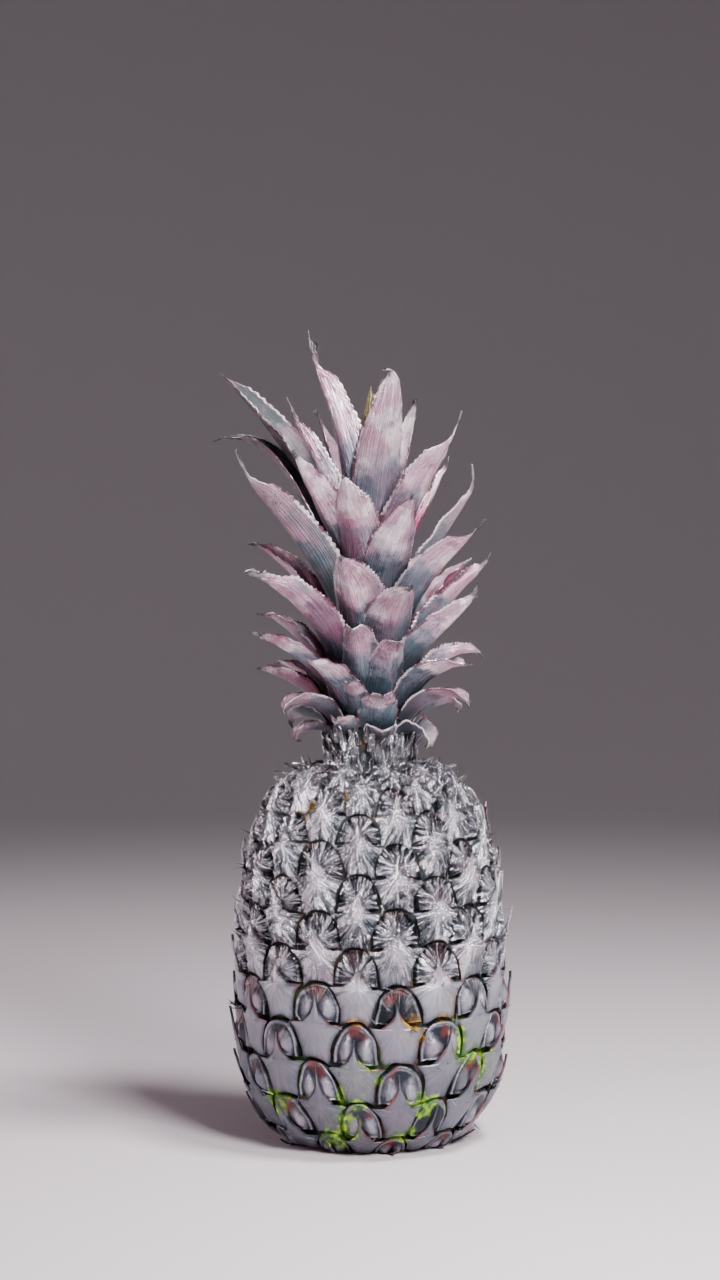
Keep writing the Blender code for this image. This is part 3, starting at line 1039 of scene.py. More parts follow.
# Painted highlights along the fanned fold streaks.
streaks = fan["Streaks"] * (foil * 0.2 + 0.05)
colour = blend_colours(streaks, colour, PAINTED_HIGHLIGHT)
colour = speckled(colour, place, 620.0, 0.9, foil * 0.5 + 0.1)
rim = between(mottle(place, 260.0) * 0.5 + edge, 1.0, 1.3)
rim_colour = blend_colours(between(mottle(place, 60.0), 0.46, 0.58), INK, RUST)
colour = blend_colours(rim * (foil * -0.4 + 0.9), colour, rim_colour)
colour, bare = bare_colour(colour, place, between(edge, 0.1, 0.9) * 0.82 + 0.1)
roughness = foil * -0.14 + 0.36
metallic = foil * 0.45 + 0.5
metallic = metallic * (1.0 - bare)
low = crushed["Height"] * (foil * 0.6 + 0.06)
low = fan["Height"] * (foil * 0.2 + 0.05) + low
fanned = shards["Height"] * between(distance, 0.02, 0.45)
relief = fanned * (foil * 1.3 + 0.05) + low
feed(shader, colour, roughness, metallic, relief, 0.0018)

# %% The domes' finish
dome_finish, shader = new_material("silver_eye_dome")
place, height, foil = fruit_places()
chance = attribute("chance")
edge = attribute("edge")
angle, distance, fan_place = fan_places(chance, 0.66)
pleats = use_group(foil_group, {"Vector": fan_place, "Scale": 2.0})
crushed = use_group(foil_group, {"Vector": place, "Scale": 150.0})
paint = tinted(place, 80.0)
flat = add_node("SeparateXYZ", {0: add_node("UVMap", uv_map="place")["UV"]})
aside = abs(flat["X"] - 0.5)
drift = mottle(place, 150.0, 3.0)
across_lobe = (aside - 0.115) * 9.5
up_lobe = (flat["Y"] - 0.7) * 5.4
squares = across_lobe ** 2.0 + up_lobe ** 2.0
from_lobe = drift * 1.1 + calc("SQRT", squares)
# The lobes carry a painted highlight, and the dome round them painted shade, nearly black.
lit_lobe = between(from_lobe, 1.75, 0.95)
lit_lobe = calc("MAXIMUM", lit_lobe, foil * 0.7)
# Painted shade on the dome, deeper on some domes than on others.
painted_dome_shade = blend_colours(chance, (0.004, 0.006, 0.012, 1), (0.02, 0.024, 0.04, 1))
lit_lobe = lit_lobe * calc("MAXIMUM", between(chance, 0.0, 0.55), foil)
colour = blend_colours(lit_lobe, painted_dome_shade, blend_colours(0.7, paint, (0.24, 0.235, 0.28, 1)))
# A painted highlight on the crest of the dome's rim.
band = drift * 0.16 + edge
band = between(band, 0.9, 0.96) * between(band, 1.06, 1.0)
colour = blend_colours(band * 0.7, colour, (0.34, 0.33, 0.38, 1.0))
# Painted shade and painted highlights on the dome's fanned pleats.
pleat_painted_shade = between(pleats["Tone"], 0.5, 0.3) * between(edge, 0.55, 0.85)
colour = blend_colours(pleat_painted_shade * (foil * 0.6 + 0.3), colour, SHADE)
pleat_painted_highlight = between(pleats["Tone"], 0.52, 0.6) * (foil * 0.85)
colour = blend_colours(pleat_painted_highlight, colour, PAINTED_HIGHLIGHT)
teeth = between(edge, 0.83, 0.88) * between(edge, 0.975, 0.945)
teeth = teeth * between(pleats["Tone"], 0.6, 0.48)
colour = blend_colours(teeth * (foil * 0.95), colour, INK)
rusty = between(mottle(place, 90.0, 3.0), 0.46, 0.58) * between(aside, 0.2, 0.06)
rusty = rusty * between(flat["Y"], 0.78, 0.88)
rusty = rusty * (foil * -0.5 + 0.75)
colour = blend_colours(rusty, colour, (0.17, 0.035, 0.03, 1))
colour = speckled(colour, place, 620.0, 0.9, foil * 0.5 + 0.1)
outermost = between(drift * 0.12 + edge, 0.995, 1.045)
outermost = outermost * (foil * -0.6 + 1.0)
colour = blend_colours(outermost, colour, INK)
colour, bare = bare_colour(colour, place, between(edge, 0.5, 0.9) * 0.65 + 0.2)
roughness = foil * -0.12 + 0.36
metallic = foil * 0.43 + 0.52
metallic = metallic * (1.0 - bare)
low = crushed["Height"] * (foil * 0.7 + 0.1)
low = lit_lobe * 0.35 + low
fanned = pleats["Height"] * between(distance, 0.05, 0.5)
relief = fanned * (foil * 1.4 + 0.12) + low
feed(shader, colour, roughness, metallic, relief, 0.0017)

# %% The groove skin's finish
groove_finish, shader = new_material("dark_groove_skin")
place, height, foil = fruit_places()
living = between(mottle(place, 38.0, 3.0), 0.54, 0.66)
living = living * between(height, 0.09, 0.045)
colour = blend_colours(living, INK, (0.1, 0.24, 0.02, 1.0))
brown = between(mottle(place, 52.0, 3.0), 0.52, 0.64)
colour = blend_colours(brown * 0.8, colour, (0.09, 0.035, 0.012, 1.0))
colour, _ = bare_colour(colour, place, 1.0)
feed(shader, colour, 0.55, 0.0, mottle(place, 500.0, 4.0), 0.0008)

for name, piece in skin_pieces.items():
    finish_piece(piece, [dome_finish if "dome" in name else star_finish], ["fruit"], 28)
finish_piece(groove_skin, [groove_finish], ["fruit"], 32)

# %% [markdown]
# ## Bristles and the cut stalk
# Every scale ends in fine dry bristles, which roughen the fruit's outline. One is a thin three-sided
# cone, copied with seeded places, leans and sizes. Underneath, the stalk was cut straight through: a
# short turned disc with a rough, fibrous face.

# %% Bristles
BRISTLES = 450
BRISTLE_LENGTH = 0.0070
BRISTLE_RADIUS = 0.00060
bpy.ops.object.select_all(action="DESELECT")
bpy.ops.mesh.primitive_cone_add(
    vertices=3,
    radius1=BRISTLE_RADIUS,
    depth=BRISTLE_LENGTH,
    location=(0, 0, BRISTLE_LENGTH / 2),
    end_fill_type="NGON",
)
bristle_pattern = started("bristle_pattern")
bpy.ops.object.transform_apply(location=True)
write_value(bristle_pattern, "edge", [0.6] * len(bristle_pattern.data.vertices))
flat_map(bristle_pattern)
chance = random.Random(SEED + 9)
bristles = []
for index in range(BRISTLES):
    bristle = own_copy(bristle_pattern, "bristle")
    ring = chance.choice(range(0, EYE_RINGS))
    azimuth = chance.choice(ring_azimuths(ring)) + chance.uniform(-13, 13)
    foot = on_fruit(azimuth, ring_length(ring + chance.uniform(-0.15, 0.1)), chance.uniform(0.8, 2.0) * MM)
    length = ring_length(ring)
    away = (on_fruit(azimuth, length, 0.01) - on_fruit(azimuth, length, 0.0)).normalized()
    lean = away * chance.uniform(0.15, 0.8) + Vector((0, 0, chance.uniform(-0.3, 1.0)))
    lean += outward(azimuth + 90) * chance.uniform(-0.7, 0.7)
    turned = lean.to_track_quat("Z", "Y")
    size = chance.uniform(0.35, 1.0)
    for vert in bristle.data.vertices:
        vert.co = foot + turned @ (vert.co * size)
        vert.co.z = max(vert.co.z, 0.0003)
    write_value(bristle, "chance", [chance.random()] * len(bristle.data.vertices))
    bristles.append(bristle)
bpy.data.objects.remove(bristle_pattern)
bristles = joined(bristles, "bristles")
finish_piece(bristles, [star_finish], ["fruit"], 60)
print("bristle faces:", len(bristles.data.polygons))

# %% The cut stalk
stalk_low, stalk_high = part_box("cut_stalk")
stalk_radius = (stalk_high.x - stalk_low.x) / 2
stalk_shares = ((0.05, 0.25), (0.30, 0.10), (0.55, 0.30), (0.75, 0.0), (0.93, 0.0), (1.0, 0.3), (0.99, 0.98))
stalk_tall = stalk_high.z - stalk_low.z
stalk_profile = [(stalk_radius * wide, stalk_low.z + stalk_tall * up) for wide, up in stalk_shares]
stalk_end = turned_body("stalk_end", stalk_profile, 40)
for vert in stalk_end.data.vertices:
    rough = noise.noise(vert.co * 700) * 0.2 * MM
    vert.co += Vector((rough, -rough, abs(rough)))
stalk_finish, shader = new_material("cut_fibres")
place = add_node("TexCoord")["Object"]
dots = between(mottle(place, 900.0, 2.0), 0.5, 0.62)
colour = blend_colours(mottle(place, 120.0), (0.1, 0.05, 0.02, 1), (0.36, 0.26, 0.13, 1))
colour = blend_colours(dots * 0.7, colour, (0.05, 0.025, 0.01, 1))
feed(shader, colour, 0.75, 0.0, mottle(place, 700.0, 4.0), 0.0006)
finish_piece(stalk_end, [stalk_finish], ["cut_stalk"], 40)
print("stalk faces:", len(stalk_end.data.polygons))

# %% [markdown]
# ## The neck's dry scales
# Between fruit and crown the neck is wrapped in short dry scales, crushed and sprayed until they look
# like crumpled foil. More of them lie out over the top of the shoulder. One scale is modelled from a
# small grid, its tip pulled to a point, and copied in rows with seeded changes.

# %% One dry scale
SCALE_LENGTH = 0.014
SCALE_WIDTH = 0.0050
SCALE_COLUMNS = 4
SCALE_ROWS = 7
bpy.ops.object.select_all(action="DESELECT")
bpy.ops.mesh.primitive_grid_add(x_subdivisions=SCALE_COLUMNS, y_subdivisions=SCALE_ROWS, size=1)
scale_pattern = started("scale_pattern")
for corner in flat_map(scale_pattern).data:
    corner.uv = (0.35 + 0.3 * corner.uv.x, 0.60 + 0.40 * corner.uv.y)
for row, height in enumerate(grid_rows(scale_pattern)):
    share = row / SCALE_ROWS
    edit_row(scale_pattern, height)
    width = SCALE_WIDTH * (1 - share ** 2.2) + 0.0004
    bpy.ops.transform.resize(value=(width, 1, 1), center_override=(0, height, 0))
edit_where(scale_pattern, lambda place: True)
bpy.ops.transform.translate(value=(0, 0.5, 0))
bpy.ops.transform.resize(value=(1, SCALE_LENGTH, 1), center_override=(0, 0, 0))
bpy.ops.object.mode_set(mode="OBJECT")
write_value(scale_pattern, "edge", [0.3] * len(scale_pattern.data.vertices))


# %% Standing the scales round the neck
def stand_scale(azimuth, radius, height, lean, size, chance):
    """A copy of the dry scale with its foot at a place, leaning out from upright by an angle."""
    made = own_copy(scale_pattern, "scale")
    up = Quaternion(outward(azimuth + 90), math.radians(lean)) @ Vector((0, 0, 1))
    turned = Quaternion(up, math.radians(chance.uniform(-25, 25)))
    across = turned @ outward(azimuth + 90)
    out = turned @ across.cross(up)
    foot = outward(azimuth) * radius + Vector((0, 0, height))
    seed = Vector((chance.uniform(0, 99), 0, 0))
    tilt = math.tan(math.radians(chance.uniform(-14, 14)))
    curl = chance.uniform(-0.3, 1.2)
    for vert in made.data.vertices:
        side, along = vert.co.x * size, vert.co.y * size
        share = vert.co.y / SCALE_LENGTH
        creased = Vector((vert.co.x * 900, vert.co.y * 130, 0))
        crush = noise.noise(seed + creased) * 0.0016 + noise.noise(seed + vert.co * 500) * 0.0006
        lift = curl * SCALE_LENGTH * 0.25 * share ** 2.5 - 60 * side ** 2 + crush * (0.4 + share)
        vert.co = foot + across * (side + tilt * along) + up * along + out * lift
    outwards = sum((face.normal for face in made.data.polygons), Vector()).dot(out)
    if outwards < 0:
        made.data.flip_normals()
    write_value(made, "chance", [chance.random()] * len(made.data.vertices))
    return made


# Each row of scales: height in millimetres above the crown's seat, how many, lean in degrees, size.
NECK_ROWS = ((-6, 20, 2, 1.0), (-2, 20, 1, 0.9), (2, 20, 2, 0.9), (6, 18, 5, 0.8), (9, 15, 11, 0.75))
SHOULDER_SCALES = 64
chance = random.Random(SEED + 5)
neck_scales = []
for height, count, lean, size in NECK_ROWS:
    for index in range(count):
        azimuth = 360 * (index + chance.uniform(-0.3, 0.3)) / count
        radius = NECK_RADIUS + chance.uniform(-0.4, 1.2) * MM
        place = crown_seat + (height + chance.uniform(-2, 2)) * MM
        grown = size * chance.uniform(0.7, 1.15)
        neck_scales.append(stand_scale(azimuth, radius, place, lean, grown, chance))
for index in range(SHOULDER_SCALES):
    azimuth = 360 * (index + chance.uniform(-0.4, 0.4)) / SHOULDER_SCALES
    length = lengths[-1] - chance.uniform(0.5, 26) * MM
    radius, height, out = along_outline(length)
    lean = math.degrees(math.atan2(out.y, out.x)) + chance.uniform(-25, 12)
    size = chance.uniform(0.25, 0.6)
    neck_scales.append(stand_scale(azimuth, radius, height + 0.9 * MM, lean, size, chance))
bpy.data.objects.remove(scale_pattern)
neck_foil = joined(neck_scales, "neck_scales")
finish_with(neck_foil, "SOLIDIFY", thickness=0.0004, offset=0.0)
print("neck scale faces:", len(neck_foil.data.polygons))

# %% The stem inside the crown
NECK_HEIGHT = 0.0125
STEM_TAPER_HEIGHT = 0.115
STEM_TAPER = 1.2
STEM_STEPS = 9
core_radius = NECK_RADIUS - 0.0006
stem_profile = [(core_radius, crown_seat), (core_radius, crown_seat + NECK_HEIGHT)]
for step in range(1, STEM_STEPS):
    share = step / STEM_STEPS
    radius = NECK_RADIUS * (1 - share ** STEM_TAPER) - 0.0005
    stem_profile.append((radius, crown_seat + NECK_HEIGHT + STEM_TAPER_HEIGHT * share))
crown_core = turned_body("crown_core", stem_profile, 32)
finish_piece(neck_foil, [star_finish], ["crown_stem"], 22)
finish_piece(crown_core, [groove_finish], ["crown_stem"], 32)

# %% [markdown]
# ## The crown's leaves
# A pineapple's crown is a spiral of stiff leaves. Each is a channel that clasps the stem, swells, and
# narrows to a spiny point. The imported model gives each leaf's line, width and twist in one row of a
# table, and those rows are repeated here. To them comes each leaf's habit: how dry and how pink it is,
# how much painted shade it carries, and what its tip does.

# %% The rows of the crown
SEATING_GAP = 0.0003
HANDLE_SHARE = 0.38
# Azimuth, root height, tip's turn, reach and height, width, root lean, tip lean, twist.
LEAVES = (
    (180, 92, 0, 11, 168, 15, 2, 8, 0),
    (-42, 88, -25, 33, 189, 23, 7, 26, 0),
    (70, 88, 0, 23, 167, 18, 6, 12, 0),
    (130, 87, 0, 26, 156, 16, 11, 20, 0),
    (-120, 86, 0, 28, 158, 16, 12, 21, 0),
    (8, 84, 16, 27, 178, 24, 11, 16, 0),
    (-76, 83, 0, 40, 160, 16, 14, 34, 8),
    (-112, 80, 4, 71, 176, 25, 19, 42, -24),
    (165, 79, 0, 30, 150, 21, 8, 24, 0),
    (52, 78, 4, 49, 152, 23, 14, 34, -6),
    (-150, 74, 0, 44, 146, 19, 17, 32, 0),
    (100, 73, 0, 36, 136, 18, 16, 26, 0),
    (-38, 72, -3, 50, 136, 23, 15, 30, 0),
    (-10, 68, -4, 48, 124, 24, 22, 44, 0),
    (136, 67, 0, 46, 134, 22, 16, 36, 0),
    (-107, 66, 0, 74, 146, 17, 24, 96, -14),
    (78, 64, 0, 51, 130, 18, 24, 30, 14),
    (18, 61, 4, 46, 117, 24, 18, 34, 0),
    (176, 60, 0, 50, 122, 23, 18, 40, 0),
    (-62, 59, 0, 69, 134, 23, 24, 42, 10),
    (-140, 55, 0, 56, 118, 23, 22, 46, 0),
    (52, 54, 4, 59, 105, 25, 26, 56, -6),
    (105, 50, 0, 46, 92, 20, 28, 44, 8),
    (-110, 48, 0, 58, 100, 20, 28, 62, -10),
    (-11, 46, -6, 46, 91, 25, 24, 52, 0),
    (150, 46, 0, 56, 98, 23, 24, 52, 0),
    (82, 44, 0, 54, 92, 21, 32, 44, 8),
    (-55, 42, 0, 68, 86, 24, 32, 70, 8),
    (-172, 41, 0, 56, 90, 23, 26, 56, 0),
    (20, 39, 0, 48, 78, 24, 27, 62, 0),
    (52, 37, 6, 56, 78, 23, 36, 40, 0),
    (-142, 36, 0, 55, 74, 22, 32, 66, 0),
    (120, 35, 0, 55, 76, 22, 32, 62, 0),
    (-108, 34, 0, 53, 69, 18, 36, 64, 0),
    (-74, 31, 0, 54, 60, 22, 38, 60, 0),
    (90, 31, 0, 50, 49, 20, 40, 108, 0),
    (-12, 30, 0, 42, 60, 23, 32, 88, 0),
    (162, 29, 0, 52, 62, 23, 32, 76, 0),
    (17, 27, 0, 44, 54, 23, 37, 86, 0),
    (54, 26, 4, 51, 45, 23, 42, 88, 0),
    (-125, 25, 0, 53, 46, 21, 40, 74, 0),
    (-38, 24, -4, 43, 46, 23, 38, 82, 0),
    (-96, 23, 0, 51, 43, 16, 46, 74, 0),
    (130, 23, 0, 50, 44, 21, 42, 90, 0),
    (-160, 22, 0, 51, 42, 18, 45, 94, 0),
    (60, 20, 0, 50, 27, 19, 46, 132, 0),
    (-62, 19.5, 0, 44, 24, 19, 46, 140, 0),
    (-16, 21.5, 0, 37, 38, 11, 40, 66, 0),
    (100, 18.5, 0, 42, 25, 16, 44, 130, 0),
    (8, 16.5, 0, 36, 31, 20, 45, 92, 0),
    (175, 17.5, 0, 38, 28, 19, 44, 118, 0),
    (-110, 16.5, 0, 40, 17, 16, 46, 150, 0),
    (-35, 15, 0, 28, 20, 14, 44, 105, 0),
    (50, 14.5, 6, 32, 8, 15, 46, 168, 0),
    (-78, 14, 0, 35, 10, 14, 46, 168, 0),
    (140, 14, 0, 33, 13, 17, 46, 150, 0),
    (12, 12.8, 0, 26, 15, 15, 50, 130, 0),
)

# %% Their habits
# Each habit: how pink and how dry the blade is, and how much painted shade it carries; where its dry tip
# starts; how far the tip curls outwards and swings aside in degrees; and how much narrower the dry tip is.
PLAIN = {"rose": 0.15, "dry": 0.1, "dark": 0.0, "tip_from": 0.90, "curl": 8, "swing": 0, "thin": 0.3}
HABITS = {
    1: {"rose": 0.0, "dry": 1.0, "tip_from": 0.97, "curl": 0, "thin": 0.1},
    2: {"tip_from": 0.80, "curl": -16, "swing": -10, "thin": 0.93, "lance": 1.0},
    3: {"dry": 0.3, "dark": 0.35, "tip_from": 0.84, "curl": 12, "fold": 120, "thin": 0.3},
    6: {"rose": 0.25, "tip_from": 0.88, "curl": 20, "fold": 115, "thin": 0.6, "keel": 1.2},
    7: {"rose": 0.3, "tip_from": 0.82, "curl": -10, "swing": 30, "thin": 0.5},
    8: {"rose": 0.5, "dark": 1.0, "tip_from": 0.94, "curl": 6, "keel": 1.6, "slim": 0.85},
    10: {"rose": 0.3, "tip_from": 0.76, "curl": -14, "swing": 14, "thin": 0.85},
    12: {"rose": 1.0, "tip_from": 0.86, "curl": -8, "thin": 0.5},
    13: {"rose": 0.45, "tip_from": 0.90, "curl": 10, "keel": 1.5},
    14: {"rose": 0.6, "tip_from": 0.97, "curl": 4},
    16: {"dark": 0.95, "tip_from": 0.86, "curl": 14, "thin": 0.5, "keel": 1.3},
    17: {"rose": 0.1, "dark": 0.5, "tip_from": 0.80, "curl": -40, "swing": 10, "thin": 0.8},
    18: {"rose": 0.2, "tip_from": 0.93, "keel": 1.5},
    20: {"rose": 0.35, "dark": 0.6, "tip_from": 0.78, "curl": -24, "swing": -20, "thin": 0.85, "keel": 1.5},
    22: {"rose": 0.15, "tip_from": 0.80, "curl": -12, "swing": 14, "thin": 0.9},
    23: {"rose": 1.0, "dark": 0.2, "tip_from": 0.85},
    24: {"rose": 0.8, "dark": 0.2, "tip_from": 0.86, "curl": 20},
    25: {"rose": 0.35, "tip_from": 0.90, "curl": 26, "keel": 1.5},
    27: {"rose": 0.4, "dark": 0.15, "tip_from": 0.84, "curl": -14, "thin": 0.8},
    28: {"rose": 0.5, "dry": 0.4, "tip_from": 0.70, "curl": 12, "swing": 25, "thin": 0.35},
    30: {"rose": 0.25, "dry": 0.2, "tip_from": 0.86, "curl": 10, "fold": -60, "keel": 1.8},
    31: {"rose": 0.1, "dark": 0.1, "tip_from": 0.82, "curl": -30, "swing": 20, "thin": 0.6},
    34: {"rose": 1.0, "dark": 0.4, "tip_from": 0.84, "curl": 26},
    35: {"rose": 0.55, "dry": 0.5, "tip_from": 0.76, "curl": 16, "thin": 0.4},
    36: {"rose": 0.3, "tip_from": 0.86, "curl": 30, "thin": 0.6},
    37: {"rose": 0.2, "tip_from": 0.90, "curl": 24, "slim": 0.72, "keel": 1.5},
    39: {"rose": 0.15, "tip_from": 0.90, "curl": 24, "slim": 0.66, "keel": 1.4},
    40: {"rose": 0.1, "tip_from": 0.85, "curl": 10, "thin": 0.6},
    41: {"rose": 0.8, "dark": 0.4, "tip_from": 0.84, "curl": 20},
    42: {"rose": 0.3, "tip_from": 0.90, "slim": 0.8, "keel": 1.3},
    43: {"rose": 0.9, "dark": 0.3, "tip_from": 0.88},
    46: {"rose": 0.3, "dark": 0.35, "tip_from": 0.85, "curl": 40, "thin": 0.6},
    47: {"rose": 0.25, "dark": 0.45, "tip_from": 0.85, "curl": 60, "thin": 0.5},
}
for number in range(49, 58):
    HABITS[number] = {"rose": 0.2, "dark": 0.55, "dry": 0.25, "tip_from": 0.75, "curl": 60, "thin": 0.5}
HABITS[50] = {"rose": 0.1, "dark": 0.1, "tip_from": 0.9, "curl": 20, "slim": 0.85}
HABITS[54]["curl"] = 110
HABITS[55]["curl"] = 120

# %% [markdown]
# ### One blade, modelled flat
# The pattern starts as a grid. Its rows are scaled to the blade's outline, broad where it clasps and
# pointed at the tip, and its margins get their small spines by pushing out every other row's edge.

# %% The flat blade
BLADE_COLUMNS = 14
BLADE_ROWS = 60
CLASP_WIDTH = 0.80
WIDEST_AT = 0.3
TIP_BLUNTNESS = 2.4
SPINE = 0.05


def blade_width(place):
    """The blade's half-width at a place from root to tip, as a share of its widest."""
    if place < WIDEST_AT:
        return CLASP_WIDTH + (1 - CLASP_WIDTH) * math.sin(math.pi / 2 * place / WIDEST_AT)
    return max(0.004, 1 - ((place - WIDEST_AT) / (1 - WIDEST_AT)) ** TIP_BLUNTNESS)


bpy.ops.object.select_all(action="DESELECT")
bpy.ops.mesh.primitive_grid_add(x_subdivisions=BLADE_COLUMNS, y_subdivisions=BLADE_ROWS, size=2)
blade_pattern = started("blade_pattern")
blade_places = [row / BLADE_ROWS for row in range(BLADE_ROWS + 1)]
flat = flat_map(blade_pattern)
for loop in blade_pattern.data.loops:
    co = blade_pattern.data.vertices[loop.vertex_index].co
    flat.data[loop.index].uv = (0.5 + co.x / 2, 0.5 + co.y / 2)
for row, height in enumerate(grid_rows(blade_pattern)):
    edit_row(blade_pattern, height)
    width = blade_width(blade_places[row])
    bpy.ops.transform.resize(value=(width, 1, 1), center_override=(0, height, 0))
    if row % 2 and 0.2 < blade_places[row] < 0.9:
        edit_row(blade_pattern, height, width * 0.99)
        bpy.ops.transform.resize(value=(1 + SPINE / width, 1, 1), center_override=(0, height, 0))
bpy.ops.object.mode_set(mode="OBJECT")
print("flat blade faces:", len(blade_pattern.data.polygons))


# %% [markdown]
# ### Laying a blade along its line
# A Curve modifier would bend the blade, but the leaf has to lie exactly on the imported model's line,
# channelled by its own amount at each place. So each copy is laid in code: the row gives the place on
# the line, and how far across gives the angle round the channel. The tip then carries on by its own
# habit: it curls, swings aside and shrinks as it dries.

# %% Laying
CLASP_ENDS_AT = 0.35
CHANNEL_ANGLE = 38
KEEL_RISE = 0.22
SLIM_FROM = 0.6
THINNEST_HALF = 0.00012


def stem_radius(height):
    """The stem's radius at a height above the crown's seat."""
    share = (height - NECK_HEIGHT) / STEM_TAPER_HEIGHT
    return NECK_RADIUS * (1 - min(1.0, max(0.0, share)) ** STEM_TAPER)


def blade_line(row, habit):
    """(point, direction, place) down the middle of the blade, in line with azimuth 0."""
    _, root_height, turn, reach, tip_height, _, root_lean, tip_lean, _ = row
    root = Vector((0, -(stem_radius(root_height * MM) + SEATING_GAP), root_height * MM))
    tip = outward(turn) * reach * MM + Vector((0, 0, tip_height * MM))
    handle = (tip - root).length * HANDLE_SHARE
    root_angle, tip_angle = math.radians(root_lean), math.radians(tip_lean)
    leaving = outward(0) * math.sin(root_angle) + Vector((0, 0, math.cos(root_angle)))
    arriving = outward(turn) * math.sin(tip_angle) + Vector((0, 0, math.cos(tip_angle)))
    corners = (root, root + leaving * handle, tip - arriving * handle, tip)
    points = []
    for place in blade_places:
        rest = 1 - place
        shares = (rest ** 3, 3 * rest ** 2 * place, 3 * rest * place ** 2, place ** 3)
        points.append(sum((corner * share for corner, share in zip(corners, shares)), Vector()))
    level = outward(turn + 90)
    begin = round(habit["tip_from"] * BLADE_ROWS)
    steps = max(1, BLADE_ROWS - begin)
    curl = Quaternion(level, math.radians(habit["curl"]) / steps)
    aside = Quaternion(Vector((0, 0, 1)), math.radians(habit["swing"]) / steps)
    aside = Quaternion(outward(turn), math.radians(habit.get("fold", 0)) / steps) @ aside
    bend = Quaternion()
    for index in range(begin + 1, BLADE_ROWS + 1):
        bend = aside @ curl @ bend
        original = (points[index] - points[index - 1]) if index == begin + 1 else kept
        kept = (points[index + 1] - points[index]) if index < BLADE_ROWS else original
        points[index] = points[index - 1] + bend @ original
    return points


def lay_blade(piece, row, habit, chance):
    """Bends a flat blade to its line and channel, then turns it to its azimuth."""
    azimuth, root_height, turn, _, _, width, _, _, twist = row
    points = blade_line(row, habit)
    half = width / 2 * MM
    clasp_radius = stem_radius(root_height * MM) + SEATING_GAP
    keel = habit.get("keel", 1.0)
    seed = Vector((chance.uniform(0, 50), chance.uniform(0, 50), 0))
    roll = chance.uniform(-0.10, 0.16)
    dry_twist = chance.choice((-1, 1)) * chance.uniform(40, 110) * habit["thin"]
    frames = []
    for index, point in enumerate(points):
        place = blade_places[index]
        along = (points[min(index + 1, BLADE_ROWS)] - points[max(index - 1, 0)]).normalized()
        level = outward(turn * min(place, 1.0) + 90)
        dried = min(1.0, max(0.0, (place - habit["tip_from"]) / (1 - habit["tip_from"])))
        inward = along.cross(level).normalized()
        inward = Quaternion(along, math.radians(twist * place + dry_twist * dried ** 1.5)) @ inward
        frames.append((point, inward.cross(along), inward, dried))
    turned = Quaternion((0, 0, 1), math.radians(azimuth))
    rows = [round((vert.co.y + 1) / 2 * BLADE_ROWS) for vert in piece.data.vertices]
    dryness = []
    for vert, index in zip(piece.data.vertices, rows):
        place = blade_places[index]
        point, across, inward, dried = frames[index]
        outline = blade_width(place)
        side = vert.co.x / outline
        shrink = 1 - habit["thin"] * min(1.0, dried * 2.2) ** 0.8
        if "lance" in habit:
            swelling = math.exp(-(((dried - 0.62) / 0.2) ** 2)) / max(outline, 0.15)
            shrink += habit["lance"] * 0.33 * swelling
        shrink *= 1 - (1 - habit.get("slim", 1.0)) * min(1.0, place / SLIM_FROM)
        half_here = max(half * outline * shrink, THINNEST_HALF)
        loosened = min(1.0, place / CLASP_ENDS_AT)
        clasp = min(1.25, half_here / clasp_radius)
        cupped = math.radians(CHANNEL_ANGLE) * (1 + 0.35 * dried)
        angle = clasp * (1 - loosened) + cupped * loosened
        radius = half_here / angle
        sideways = radius * math.sin(angle * side)
        rise = radius - radius * math.cos(angle * side)
        rise += keel * KEEL_RISE * half_here * abs(side) * loosened
        rise += roll * half_here * side ** 4 * loosened
        wave = noise.noise(seed + Vector((side * 0.8, place * 9, 0)))
        fine = noise.noise(seed + Vector((side * 3.0, place * 34, 5)))
        crease = noise.noise(seed + Vector((side * 5.0, place * 70, 9)))
        loose = loosened * (0.35 + 0.65 * place)
        rise += loose * MM * (1.3 * wave * (0.3 + side ** 2) + 0.30 * fine)
        rise += dried * (0.55 * crease + 0.5 * fine) * min(half_here, 3 * MM)
        sideways += dried * 0.35 * crease * half_here
        vert.co = turned @ (point + across * sideways + inward * rise) + Vector((0, 0, crown_seat))
        dryness.append(dried)
    write_value(piece, "dried", dryness)
    for name in ("rose", "dry", "dark"):
        write_value(piece, name, [habit[name]] * len(dryness))
    write_value(piece, "chance", [chance.random()] * len(dryness))


# %% [markdown]
# ### Giving the blades their thickness
# A leaf is thickest along its middle and thin at the margins. A vertex group says so to Solidify,
# which also gives the inner side the second material.

# %% All the blades
BLADE_THICKNESS = 0.0011
chance = random.Random(SEED + 1)
blades = []
for number, row in enumerate(LEAVES, start=1):
    habit = dict(PLAIN)
    if number not in HABITS:
        habit.update(rose=chance.uniform(0.0, 0.8), dark=chance.uniform(0.1, 0.4))
        habit.update(tip_from=chance.uniform(0.78, 0.92), curl=chance.uniform(-20, 30))
        habit.update(thin=chance.uniform(0.3, 0.8))
    habit.update(HABITS.get(number, {}))
    blade = own_copy(blade_pattern, f"leaf_{number:02d}")
    middle = blade.vertex_groups.new(name="middle")
    for vert in blade.data.vertices:
        outline = blade_width((vert.co.y + 1) / 2)
        middle.add([vert.index], max(0.0, 1 - (vert.co.x / outline) ** 2) * min(1.0, outline * 2), "REPLACE")
    lay_blade(blade, row, habit, chance)
    outwards = Quaternion((0, 0, 1), math.radians(row[0])) @ Vector((0, -1, 0))
    if blade.data.polygons[BLADE_COLUMNS * 12 + BLADE_COLUMNS // 2].normal.dot(outwards) < 0:
        blade.data.flip_normals()
    finish_with(
        blade,
        "SOLIDIFY",
        thickness=BLADE_THICKNESS,
        offset=0.0,
        vertex_group="middle",
        thickness_vertex_group=0.3,
        material_offset=1,
    )
    blade.vertex_groups.clear()
    blades.append(blade)
bpy.data.objects.remove(blade_pattern)
